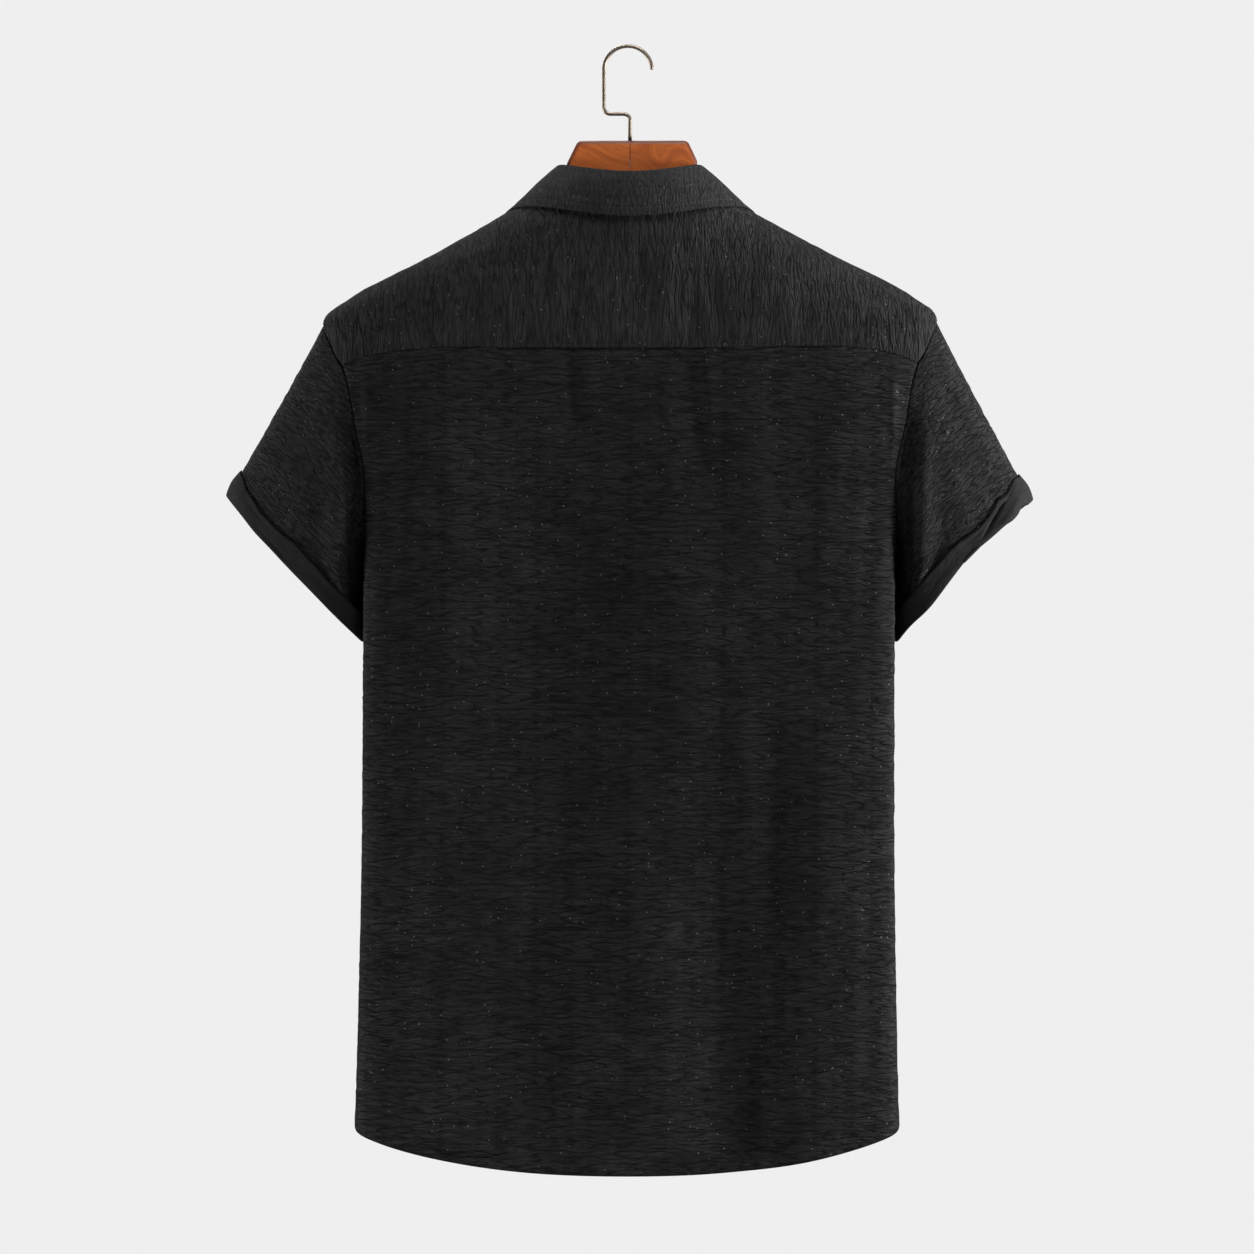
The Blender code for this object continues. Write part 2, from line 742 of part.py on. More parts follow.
def make_hanger_half(turn, side, collection, cutter):
    bm = bmesh.new()
    outline = hanger_outline(side)
    face = bm.faces.new([bm.verts.new((turn * x * MM, -HANGER_THICK / 2 * MM, z * MM))
                         for x, z in outline])
    grown = bmesh.ops.extrude_face_region(bm, geom=[face])
    moved = [v for v in grown["geom"] if isinstance(v, bmesh.types.BMVert)]
    bmesh.ops.translate(bm, verts=moved, vec=(0, HANGER_THICK * MM, 0))
    bmesh.ops.recalc_face_normals(bm, faces=bm.faces)
    joint = JOINT_SIDE * MM + 0.00001
    rim = []
    for edge in bm.edges:
        a, b = edge.verts
        same_face = abs(a.co.y - b.co.y) < 0.0001
        at_joint = abs(a.co.x) < joint and abs(b.co.x) < joint
        if same_face and not at_joint:
            rim.append(edge)
    bmesh.ops.bevel(bm, geom=rim, offset=HANGER_ROUND * MM, segments=2, profile=0.5,
                    affect="EDGES")
    name = "hanger_half_" + side
    data = bpy.data.meshes.new(name)
    bm.to_mesh(data)
    bm.free()
    made = add_object(name, data, RED_WOOD, collection)
    hole = made.modifiers.new("wire hole", "BOOLEAN")
    hole.operation = "DIFFERENCE"
    hole.object = cutter


def make_hole_cutter(collection):
    top = HEAD_TOP + 5
    depth = HOOK_ENTRY_DEPTH + 5.5
    bpy.ops.mesh.primitive_cylinder_add(vertices=16, radius=(WIRE / 2 + WIRE_HOLE_GAP) * MM,
                                        depth=depth * MM,
                                        location=(0, 0, (top - depth / 2) * MM))
    cutter = bpy.context.object
    cutter.name = "wire_hole_cutter"
    for owner in list(cutter.users_collection):
        owner.objects.unlink(cutter)
    collection.objects.link(cutter)
    cutter.hide_render = True
    cutter.display_type = "WIRE"
    return cutter


def arc(centre, radius, first, last, count):
    out = []
    for k in range(count):
        angle = math.radians(first + (last - first) * k / (count - 1))
        out.append((centre[0] + radius * math.cos(angle), centre[1] + radius * math.sin(angle)))
    return out


def make_hook(collection):
    """Wire up from the wood, a jog to the left, up again and over in an open crook."""
    left = HOOK_CENTRE[0] - HOOK_RADIUS
    c = JOG_CORNER
    path = [(0.0, HEAD_TOP - HOOK_ENTRY_DEPTH), (0.0, HEAD_TOP),
            (0.0, JOG_DROP - c - 1)]
    path += arc((-c, JOG_DROP - c), c, 0, 90, 5)
    path += arc((left + c, JOG_DROP + c), c, 270, 180, 5)
    path += arc(HOOK_CENTRE, HOOK_RADIUS, 180, -4, 21)
    curve = bpy.data.curves.new("hanger_hook", "CURVE")
    curve.dimensions = "3D"
    curve.bevel_depth = WIRE / 2 * MM
    curve.bevel_resolution = 2
    curve.use_fill_caps = True
    line = curve.splines.new("POLY")
    line.points.add(len(path) - 1)
    for point, (x, z) in zip(line.points, path):
        point.co = (x * MM, 0, z * MM, 1)
    add_object("hanger_hook", curve, BROWN_METAL, collection)


def main():
    for old in list(bpy.data.objects):
        bpy.data.objects.remove(old)
    parts = bpy.data.collections.new("hanging_shirt")
    cutters = bpy.data.collections.new("cutters")
    bpy.context.scene.collection.children.link(parts)
    bpy.context.scene.collection.children.link(cutters)
    make_back(parts)
    make_yoke(parts)
    make_front(-1, "front_left", parts)
    make_front(1, "front_right", parts)
    for turn, side in ((-1, "left"), (1, "right")):
        make_sleeve(turn, side, parts)
    make_stand(parts)
    make_collar(parts)
    make_buttons(parts)
    cutter = make_hole_cutter(cutters)
    make_hanger_half(-1, "left", parts, cutter)
    make_hanger_half(1, "right", parts, cutter)
    make_hook(parts)


main()
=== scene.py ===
import math

import bmesh
import bpy
import numpy as np
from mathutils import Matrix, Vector


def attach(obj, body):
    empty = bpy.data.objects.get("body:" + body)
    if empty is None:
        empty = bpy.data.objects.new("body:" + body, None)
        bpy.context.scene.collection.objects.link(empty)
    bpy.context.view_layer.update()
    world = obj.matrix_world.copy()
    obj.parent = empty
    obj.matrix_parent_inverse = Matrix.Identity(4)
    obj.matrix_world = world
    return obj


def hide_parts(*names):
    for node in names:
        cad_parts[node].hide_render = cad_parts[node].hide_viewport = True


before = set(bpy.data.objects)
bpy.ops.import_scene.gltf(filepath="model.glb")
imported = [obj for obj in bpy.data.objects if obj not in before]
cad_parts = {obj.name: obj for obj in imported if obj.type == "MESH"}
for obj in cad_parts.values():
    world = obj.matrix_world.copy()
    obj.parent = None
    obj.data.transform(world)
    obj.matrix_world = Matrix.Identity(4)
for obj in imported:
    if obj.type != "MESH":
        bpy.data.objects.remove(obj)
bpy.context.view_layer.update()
print("frame loaded:", len(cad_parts), "nodes")

mm = 0.001

# the cut of the body, ring by ring, in millimetres

ringColumns = ("down", "sideDrop", "backDrop", "frontDrop", "halfWidth", "backDepth", "frontDepth",
    "backRound", "frontRound", "backBend", "frontBend", "ease")
ringTable = ((119, 116.5, 127, 185, 76, 60, 62, 2.0, 2.0, 2.0, 1.6, 1.0),
    (140, 131, 145, 197, 100, 62, 66, 2.2, 2.1, 2.0, 1.8, 1.0),
    (175, 164.5, 177, 219, 159, 63, 69, 2.6, 2.3, 2.0, 2.0, 1.0),
    (205, 197, 206, 237, 220, 61, 68, 3.2, 2.7, 2.0, 2.0, 1.0),
    (222, 216, 223, 248, 239, 58, 67, 3.9, 3.1, 4.0, 3.0, 1.0),
    (236, 264, 236, 262, 233, 56, 66, 4.5, 3.6, 10.0, 8.0, 1.0),
    (285, 300, 285, 300, 222, 54, 63, 6.0, 4.5, 6.0, 6.0, 1.0),
    (325, 333, 325, 334, 212, 53, 61, 8.0, 5.2, 4.0, 4.0, 1.0),
    (370, 372, 370, 371, 207, 52, 60, 9.0, 5.6, 2.0, 2.0, 1.0),
    (395, 395, 395, 395, 206, 52, 60, 9.0, 5.6, 2.0, 2.0, 1.0),
    (460, 457, 460, 459, 206, 52, 60, 9.0, 5.4, 2.0, 2.0, 0.8),
    (620, 600, 620, 614, 206.5, 53, 61, 8.5, 5.0, 2.2, 2.2, 0.3),
    (760, 723, 760, 748, 208.5, 55, 62, 8.0, 5.0, 2.3, 2.3, 0.0),
    (875, 823, 875, 862, 211, 57, 63, 7.5, 5.0, 2.6, 2.3, 0.0))
neckLevel, tipLevel, yokeLevel, underarmLevel, hemLevel = 119, 222, 236, 395, 875
lean = {"atHem": -2.3, "from": 250}
rightShoulder = {"lift": 2.6, "fromX": 60, "toX": 190, "fromDrop": 215, "toDrop": 320}

armholeColumns = ("down", "behind", "before")
armholeTable = ((222, 0, 27), (224.5, 25, 31), (228, 33, 34), (236, 38.5, 39), (258, 41, 42),
    (285, 42, 44), (325, 44, 45), (350, 41, 40), (370, 32, 31), (385, 19, 19), (392, 9, 9), (395, 0, 0))
yokeOverFront = 30

# soft hanging folds: place across, half width, rise, and the drop where each begins
backFolds = ((-182, 26, 3.0, 420), (-118, 42, -4.0, 330), (0, 42, 4.5, 360), (86, 26, -4.5, 300),
    (136, 26, 3.5, 430))
frontFolds = ((-150, 32, 3.5, 420), (-92, 30, -4.5, 330), (-30, 30, 2.5, 500), (58, 34, -3.5, 380),
    (112, 34, 4.5, 330), (168, 24, -2.5, 460))


def smoothValues(keys, values, at):
    # monotone cubic through a table's column
    keys = np.asarray(keys, float)
    values = np.asarray(values, float)
    step = np.diff(keys)
    slope = np.diff(values) / step
    tangent = np.zeros(len(keys))
    tangent[0], tangent[-1] = slope[0], slope[-1]
    for i in range(1, len(keys) - 1):
        if slope[i - 1] * slope[i] > 0:
            tangent[i] = 2.0 / (1.0 / slope[i - 1] + 1.0 / slope[i])
    at = min(max(at, keys[0]), keys[-1])
    i = min(int(np.searchsorted(keys, at, side="right")) - 1, len(step) - 1)
    t = (at - keys[i]) / step[i]
    low = (1 + 2 * t) * (1 - t) ** 2 * values[i] + t * (1 - t) ** 2 * step[i] * tangent[i]
    high = t * t * (3 - 2 * t) * values[i + 1] + t * t * (t - 1) * step[i] * tangent[i + 1]
    return low + high


def tableRow(columns, table, at):
    parts = list(zip(*table))
    return {name: smoothValues(parts[0], part, at) for name, part in zip(columns[1:], parts[1:])}


def easeStep(low, high, value):
    t = np.clip((np.asarray(value, float) - low) / (high - low), 0.0, 1.0)
    return t * t * (3 - 2 * t)


def makeRing(sizes, samples=400):
    ring = {"sizes": sizes}
    for side in ("back", "front"):
        power = 2.0 / sizes[side + "Round"]
        angle = np.linspace(0, math.pi / 2, samples)
        x = sizes["halfWidth"] * np.sin(angle) ** power
        y = sizes[side + "Depth"] * np.cos(angle) ** power
        length = np.concatenate(([0.0], np.cumsum(np.hypot(np.diff(x), np.diff(y)))))
        ring[side] = (x, y, length)
    return ring


def ringPoints(ring, around):
    # around: 0 centre back, 1 side, 2 centre front, negative towards -X
    around = np.asarray(around, float)
    turn = np.where(around >= 0, 1.0, -1.0)
    share = np.abs(around)
    inFront = share > 1
    share = np.where(inFront, 2 - share, share)
    turn = np.where(share < 0, -turn, turn)
    share = np.abs(share)
    out = np.zeros((len(around), 3))
    for side, here, away in (("back", ~inFront, -1.0), ("front", inFront, 1.0)):
        x, y, length = ring[side]
        reach = share * length[-1]
        bend = ring["sizes"][side + "Bend"]
        weight = share ** bend * (1 + ring["sizes"]["ease"] * bend * (1 - share))
        centre = ring["sizes"][side + "Drop"]
        drop = centre + (ring["sizes"]["sideDrop"] - centre) * weight
        out[here, 0] = (np.interp(reach, length, x) * turn)[here]
        out[here, 1] = (np.interp(reach, length, y) * away)[here]
        out[here, 2] = -drop[here]
    return out


ringStore = {}


def bodyRing(down):
    key = round(float(down), 3)
    if key not in ringStore:
        ringStore[key] = makeRing(tableRow(ringColumns, ringTable, down))
    return ringStore[key]


def bodyRow(down, around):
    # one row of points on the outside of the shirt's body
    around = np.asarray(around, float)
    points = ringPoints(bodyRing(down), around)
    drop = -points[:, 2]
    sideFade = easeStep(0.0, 0.35, np.abs(1 - np.abs(around)))
    for folds, here, outward in ((backFolds, np.abs(around) <= 1, -1.0), (frontFolds, np.abs(around) > 1,
            1.0)):
        for x, halfWidth, rise, fromDrop in folds:
            bump = np.exp(-((points[:, 0] - x) / halfWidth) ** 2)
            push = outward * rise * bump * easeStep(fromDrop, hemLevel, drop) * sideFade
            points[:, 1] += np.where(here, push, 0.0)
    points[:, 0] += lean["atHem"] * easeStep(lean["from"], hemLevel, drop)
    lifted = easeStep(rightShoulder["fromX"], rightShoulder["toX"], points[:, 0])
    lifted *= 1 - easeStep(rightShoulder["fromDrop"], rightShoulder["toDrop"], drop)
    points[:, 2] += rightShoulder["lift"] * lifted
    return points


def shareAtDepth(side, down, depth):
    x, y, length = bodyRing(down)[side]
    return float(np.interp(-depth, -y, length)) / length[-1]


def armholeShare(side, down):
    if down >= underarmLevel:
        return 1.0
    row = tableRow(armholeColumns, armholeTable, down)
    return shareAtDepth(side, down, row["behind" if side == "back" else "before"])


def frontSeamShare(down):
    ring = bodyRing(down)
    tipRing = bodyRing(tipLevel)["front"][2][-1]
    nearTip = (1 - armholeShare("front", tipLevel)) * tipRing / ring["front"][2][-1]
    plain = yokeOverFront / ring["front"][2][-1]
    blend = float(easeStep(tipLevel - 60, tipLevel, down))
    return plain * (1 - blend) + nearTip * blend


# uneven cloth relief

def latticeNoise(x, y, seed):
    # smooth values from -1 to 1 on a hashed lattice
    x = np.asarray(x, float)
    y = np.asarray(y, float)
    xCell = np.floor(x).astype(np.int64)
    yCell = np.floor(y).astype(np.int64)
    fx, fy = x - xCell, y - yCell
    fx = fx * fx * fx * (fx * (fx * 6 - 15) + 10)
    fy = fy * fy * fy * (fy * (fy * 6 - 15) + 10)

    def corner(a, b):
        h = (a * 374761393 + b * 668265263 + seed * 362437) & 0x7FFFFFFF
        h = ((h ^ (h >> 13)) * 1274126177) & 0x7FFFFFFF
        return ((h ^ (h >> 16)) & 0xFFFF) / 32767.5 - 1

    top = corner(xCell, yCell) * (1 - fx) + corner(xCell + 1, yCell) * fx
    low = corner(xCell, yCell + 1) * (1 - fx) + corner(xCell + 1, yCell + 1) * fx
    return top * (1 - fy) + low * fy


def crinkleHeight(along, across, look, turn=0):
    # puffed strips between thin sharp troughs that run with the grain
    seed = look["seed"] + turn
    wander = look["wander"] * 0.5 * latticeNoise(along / 31, across / 23, seed)
    wander = wander + look["wander"] * 0.4 * latticeNoise(along / 11, across / 9, seed + 1)
    strips = latticeNoise(along / look["length"], (across + wander) / look["gap"], seed + 2)
    finer = latticeNoise(along / (look["length"] * 0.45), (across + wander) / (look["gap"] * 0.6),
        seed + 3)
    patch = 0.65 + 0.35 * latticeNoise(along / 60, across / 45, seed + 4)
    puff = np.abs(strips) ** 0.7 * 0.65 + np.abs(finer) ** 0.8 * 0.35
    return look["height"] * (puff - 0.45) * patch


def creaseHeight(rows, creases):
    # soft troughs (negative) and ridges along short lines, tapering to nothing at both ends
    x, z = rows[:, :, 0], rows[:, :, 2]
    total = np.zeros_like(x)
    for x0, z0, x1, z1, width, rise in creases:
        dx, dz = x1 - x0, z1 - z0
        reach = dx * dx + dz * dz
        t = np.clip(((x - x0) * dx + (z - z0) * dz) / reach, 0, 1)
        away = np.hypot(x - x0 - t * dx, z - z0 - t * dz)
        taper = np.sin(math.pi * np.clip(t, 0.04, 0.96)) ** 0.6
        total += rise * np.exp(-(away / width) ** 2) * taper
    return total


def bodyPoint(around, down):
    return bodyRow(down, [around])[0]


def bodyNormal(around, down):
    step = 0.012
    along = bodyPoint(around + step, down) - bodyPoint(around - step, down)
    below = bodyPoint(around, min(down + 2, hemLevel)) - bodyPoint(around, max(down - 2, neckLevel))
    normal = np.cross(along, -below)
    centre = bodyPoint(around, down) * np.array((1.0, 1.0, 0.0))
    if np.dot(normal, centre) < 0:
        normal = -normal
    return normal / np.linalg.norm(normal)


def runLength(rows, axis):
    # distance walked along a grid's rows (axis 0) or columns (axis 1)
    step = np.linalg.norm(np.diff(rows, axis=axis), axis=2)
    pad = np.zeros((1, step.shape[1])) if axis == 0 else np.zeros((step.shape[0], 1))
    return np.concatenate((pad, np.cumsum(step, axis=axis)), axis=axis)


def gridDistances(rows):
    # how far each point lies from its column's top, from its column's foot and along its row
    fromTop = runLength(rows, 0)
    return fromTop, fromTop[-1][None, :] - fromTop, runLength(rows, 1)


def fromNearEnd(walked):
    return np.minimum(walked, walked[:, -1:] - walked)


def unit(rows):
    return rows / np.linalg.norm(rows, axis=1)[:, None]


def edgeTaper(away, width):
    # thins a wall towards its free edge
    return 0.3 + 0.7 * easeStep(0.0, width, away)


def addObject(name, data):
    made = bpy.data.objects.new(name, data)
    bpy.context.scene.collection.objects.link(made)
    return made


def placePiece(name, mesh, finish, node=None):
    # a smooth piece that rides on the shirt's one body, and stands for a node where it has one
    mesh.shade_smooth()
    mesh.materials.append(finish)
    made = addObject(name, mesh)
    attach(made, "root")
    if node:
        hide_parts(node)
    return made


def clothPiece(name, node, grids, wall, material, inside):
    # grids: rows of points with a height, a grain map and a wall share for each point; each piece's
    # grain map starts elsewhere, so that no two show the same patch of crinkle
    # equal points are joined, heights push along the joined normals, then the wall grows inwards
    points = np.concatenate([g["rows"].reshape(-1, 3) for g in grids])
    heights = np.concatenate([g["height"].reshape(-1) for g in grids])
    shares = np.concatenate([g["wall"].reshape(-1) for g in grids])
    grain = np.concatenate([np.stack((g["along"], g["across"]), axis=-1).reshape(-1, 2) for g in grids])
    quads, start = [], 0
    for g in grids:
        count, width = g["rows"].shape[:2]
        index = np.arange(count * width).reshape(count, width) + start
        quads.append(np.stack((index[:-1, :-1], index[:-1, 1:], index[1:, 1:], index[1:, :-1]),
            axis=-1).reshape(-1, 4))
        start += count * width
    quads = np.concatenate(quads)
    joined, first, inverse = np.unique(np.round(points, 3), axis=0, return_index=True,
        return_inverse=True)
    inverse = inverse.reshape(-1)
    joined = points[first]
    faces = inverse[quads]
    whole = (faces[:, 0] != faces[:, 1]) & (faces[:, 2] != faces[:, 3])
    whole &= (faces[:, 1] != faces[:, 2]) & (faces[:, 0] != faces[:, 3])
    faces, quads = faces[whole], quads[whole]
    facing = np.cross(joined[faces[:, 2]] - joined[faces[:, 0]], joined[faces[:, 3]]
        - joined[faces[:, 1]])
    centres = joined[faces].mean(axis=1)
    if np.sum(facing * (centres - inside(centres))) < 0:
        faces, quads, facing = faces[:, ::-1], quads[:, ::-1], -facing
    normals = np.zeros_like(joined)
    for k in range(4):
        np.add.at(normals, faces[:, k], facing)
    normals /= np.maximum(np.linalg.norm(normals, axis=1), 1e-9)[:, None]
    pushed = joined + normals * heights[first][:, None]
    mesh = bpy.data.meshes.new(name)
    mesh.from_pydata((pushed * mm).tolist(), [], faces.tolist())
    layer = mesh.uv_layers.new(name="grain")
    layer.data.foreach_set("uv", (grain[quads.reshape(-1)] * mm).astype(np.float32).reshape(-1))
    made = placePiece(name, mesh, material, node)
    group = made.vertex_groups.new(name="wallShare")
    share = shares[first]
    for level in np.unique(np.round(share, 2)):
        picked = np.nonzero(np.round(share, 2) == level)[0].tolist()
        group.add(picked, float(level), "REPLACE")
    shell = made.modifiers.new("wall", "SOLIDIFY")
    shell.thickness = wall * mm
    shell.offset = -1
    shell.use_even_offset = False
    shell.vertex_group = "wallShare"
    at = 0
    for g in grids:
        size = g["rows"].shape[0] * g["rows"].shape[1]
        spots = inverse[at:at + size]
        g["done"] = pushed[spots].reshape(g["rows"].shape)
        g["normals"] = normals[spots].reshape(g["rows"].shape)
        at += size
    return made


def fromAxis(centres):
    return centres * np.array((0.0, 0.0, 1.0))


def traceAt(grid, away, target):
    # the line on a finished grid where a distance measured down its columns has one value
    out, lifted = [], []
    for c in range(away.shape[1]):
        line = away[:, c]
        order = np.argsort(line)
        at = np.interp(target, line[order], np.arange(len(line))[order])
        low = int(min(math.floor(at), len(line) - 2))
        t = at - low
        out.append(grid["done"][low, c] * (1 - t) + grid["done"][low + 1, c] * t)
        lifted.append(grid["normals"][low, c])
    return np.array(out), np.array(lifted)


def traceAcross(grid, away, target):
    turned = {"done": grid["done"].transpose(1, 0, 2), "normals": grid["normals"].transpose(1, 0, 2)}
    return traceAt(turned, away.T, target)


def cutGrid(grid, rows=slice(None), columns=slice(None)):
    return {key: grid[key][rows, columns] for key in ("done", "normals")}


def tubeFaces(rings, sides, start=0):
    # quads from ring to ring of points, with a cap at both ends
    faces = []
    for r in range(rings - 1):
        for s in range(sides):
            a, b = start + r * sides + s, start + r * sides + (s + 1) % sides
            faces.append((a, b, b + sides, a + sides))
    last = start + (rings - 1) * sides
    return faces + [tuple(start + s for s in reversed(range(sides))), tuple(range(last, last + sides))]


def tubeRing(centre, side, up, radius, swell, sides):
    ring = []
    for s in range(sides):
        angle = 2 * math.pi * s / sides
        spoke = side * math.cos(angle) + up * math.sin(angle)
        ring.append(tuple((centre + spoke * radius * swell) * mm))
    return ring


def stitchRun(name, runs, look, material):
    # short rounded thread lengths, sunk at both ends, along lines on the cloth
    verts, faces = [], []
    sides = 6
    rings = ((0.0, 0.25, -0.5), (0.18, 0.8, 0.3), (0.5, 1.0, 0.7), (0.82, 0.8, 0.3), (1.0, 0.25, -0.5))
    pitch = look["length"] + look["space"]
    for line, lifted in runs:
        reach = np.concatenate(([0.0], np.cumsum(np.linalg.norm(np.diff(line, axis=0), axis=1))))
        for k in range(int(reach[-1] / pitch)):
            begin = k * pitch + look["space"] / 2
            ends = [np.array([np.interp(begin + look["length"] * s, reach, line[:, i]) for i in range(3)])
                for s in (0.0, 1.0)]
            up = np.array([np.interp(begin, reach, lifted[:, i]) for i in range(3)])
            up /= np.linalg.norm(up)
            ahead = ends[1] - ends[0]
            side = np.cross(ahead, up)
            side /= max(np.linalg.norm(side), 1e-9)
            faces += tubeFaces(len(rings), sides, len(verts))
            for share, swell, rise in rings:
                centre = ends[0] + ahead * share + up * look["radius"] * rise
                verts += tubeRing(centre, side, up, look["radius"], swell, sides)
    mesh = bpy.data.meshes.new(name)
    mesh.from_pydata(verts, [], faces)
    return placePiece(name, mesh, material)


# shader helpers: a node with its inputs filled or linked in one call

def fill(tree, node, inputs):
    # links or sets a node's inputs
    for key, value in inputs.items():
        if isinstance(value, bpy.types.NodeSocket):
            tree.links.new(value, node.inputs[key])
        else:
            node.inputs[key].default_value = value
    return node


def put(tree, kind, inputs=None, **settings):
    node = tree.nodes.new(kind)
    for key, value in settings.items():
        setattr(node, key, value)
    return fill(tree, node, inputs or {})


def calc(tree, operation, a, b=0.0):
    return put(tree, "ShaderNodeMath", {0: a, 1: b}, operation=operation).outputs[0]


def mathTools(tree):
    # short names for one tree's maths: add, less, times, over
    def tool(operation):
        return lambda a, b: calc(tree, operation, a, b)
    return [tool(operation) for operation in ("ADD", "SUBTRACT", "MULTIPLY", "DIVIDE")]


def mixColour(tree, factor, a, b):
    return put(tree, "ShaderNodeMix", {0: factor, 6: a, 7: b}, data_type="RGBA").outputs[2]


def mapped(tree, value, low, high, outLow=0.0, outHigh=1.0):
    inputs = {0: value, 1: low, 2: high, 3: outLow, 4: outHigh}
    return put(tree, "ShaderNodeMapRange", inputs).outputs[0]


def noiseAt(tree, place, scale, detail=2.0, roughness=0.5):
    inputs = {"Vector": place, "Scale": scale, "Detail": detail, "Roughness": roughness}
    return put(tree, "ShaderNodeTexNoise", inputs).outputs[0]


def joinedXYZ(tree, x, y, z=0.0):
    return put(tree, "ShaderNodeCombineXYZ", {0: x, 1: y, 2: z}).outputs[0]


def bumped(tree, height, distance):
    return put(tree, "ShaderNodeBump", {"Height": height, "Distance": distance * mm}).outputs[0]


def newMaterial(name):
    made = bpy.data.materials.new(name)
    made.use_nodes = True
    tree = made.node_tree
    return made, tree, tree.nodes["Principled BSDF"]


def newGroup(name, inputs, outputs):
    # sockets are numbers, apart from the first input, a place
    group = bpy.data.node_groups.new(name, "ShaderNodeTree")
    for label, value in inputs:
        kind = "NodeSocketVector" if value is None else "NodeSocketFloat"
        socket = group.interface.new_socket(label, in_out="INPUT", socket_type=kind)
        if value is not None:
            socket.default_value = value
    for label in outputs:
        group.interface.new_socket(label, in_out="OUTPUT", socket_type="NodeSocketFloat")
    return group, group.nodes.new("NodeGroupInput").outputs, group.nodes.new("NodeGroupOutput")


def makeCrinkleGroup():
    # long narrow puffs with sharp troughs, crossing patches, tiny pale slubs; Shade is low in the troughs,
    # and the colour it mixes is painted shade there
    inputs = (("Grain", None), ("Length", 20.0), ("Gap", 4.0), ("Wander", 5.0), ("Slubs", 0.4))
    group, given, result = newGroup("crinkleCloth", inputs, ("Height", "Shade", "Slub"))
    add, less, times, over = mathTools(group)
    toMillimetres = {0: given["Grain"], 1: (1000.0, 1000.0, 1000.0)}
    sized = put(group, "ShaderNodeVectorMath", toMillimetres, operation="MULTIPLY").outputs[0]
    parts = put(group, "ShaderNodeSeparateXYZ", {0: sized})
    along, across = parts.outputs[0], parts.outputs[1]
    drift = times(less(noiseAt(group, sized, 0.035), 0.5), given["Wander"])
    smaller = times(less(noiseAt(group, sized, 0.12, 1.0), 0.5), times(given["Wander"], 0.35))
    shifted = add(across, times(add(drift, smaller), 2.0))

    def strips(lengthShare, gapShare, offset, detail, power):
        x = over(along, times(given["Length"], lengthShare))
        y = over(shifted, times(given["Gap"], gapShare))
        noise = noiseAt(group, joinedXYZ(group, x, y, offset), 1.0, detail, 0.55)
        fold = mapped(group, calc(group, "ABSOLUTE", less(noise, 0.5)), 0.0, 0.12)
        return calc(group, "POWER", fold, power)

    puffs = add(times(strips(1.0, 1.35, 3.0, 0.4, 0.6), 0.52), times(strips(0.6, 0.75, 17.0, 1.0, 0.7),
        0.48))
    shade = times(puffs, mapped(group, noiseAt(group, sized, 0.02), 0.35, 0.65, 0.72, 1.0))
    crepe = times(less(noiseAt(group, sized, 1.3), 0.5), 0.4)
    spread = joinedXYZ(group, over(along, 5.5), over(shifted, 4.5))
    dots = put(group, "ShaderNodeTexVoronoi", {"Vector": spread, "Scale": 1.0})
    near = mapped(group, dots.outputs["Distance"], 0.04, 0.13, 1.0, 0.0)
    some = put(group, "ShaderNodeSeparateColor", {0: dots.outputs["Color"]})
    slub = times(times(near, mapped(group, some.outputs[0], 0.42, 0.62)), given["Slubs"])
    fill(group, result, {"Height": add(shade, crepe), "Shade": shade, "Slub": slub})
    return group


crinkleGroup = makeCrinkleGroup()


def clothMaterial(name, look):
    made, tree, shader = newMaterial(name)
    grain = put(tree, "ShaderNodeUVMap", uv_map="grain").outputs[0]
    inputs = {label: look[label.lower()] for label in ("Length", "Gap", "Wander", "Slubs")}
    crinkle = put(tree, "ShaderNodeGroup", node_tree=crinkleGroup)
    group = fill(tree, crinkle, dict(inputs, Grain=grain)).outputs
    dark, light, pale = look["dark"], look["light"], look["slubColour"]
    # painted shade: the dark tone sits in the crinkle troughs, the light tone on the puffs
    colour = mixColour(tree, group["Shade"], (dark, dark, dark * 1.03, 1),
        (light, light, light * 1.02, 1))
    fill(tree, shader, {"Base Color": mixColour(tree, group["Slub"], colour, (pale, pale, pale, 1)),
        "Roughness": mapped(tree, group["Shade"], 0.0, 1.0, look["roughLow"], look["roughHigh"]),
        "Normal": bumped(tree, group["Height"], look["bump"]), "Specular IOR Level": look["specular"]})
    return made


clothLook = {"length": 24.0, "gap": 3.6, "wander": 1.3, "slubs": 0.9, "dark": 0.001, "light": 0.021,
    "slubColour": 0.14, "roughLow": 0.75, "roughHigh": 0.9, "bump": 2.0, "specular": 0.03}
# one black cloth in every piece: the yoke's and the collar's copies are lighter as painted light from
# above, and the body's copy is a little darker
bodyCloth = clothMaterial("bodyCloth", dict(clothLook, light=0.0175))
yokeClothPaintedLight = clothMaterial("yokeClothPaintedLight", dict(clothLook, gap=3.4, light=0.023, dark=0.0025))
sleeveCloth = clothMaterial("sleeveCloth", dict(clothLook, length=18.0, gap=3.3))
collarClothPaintedLight = clothMaterial("collarClothPaintedLight", dict(clothLook, length=13.0, gap=3.0, light=0.0215, dark=0.006,
    bump=1.2))
smoothCloth = clothMaterial("smoothCloth", dict(clothLook, length=14.0, gap=5.0, light=0.015, dark=0.01,
    bump=0.22, slubs=0.15))


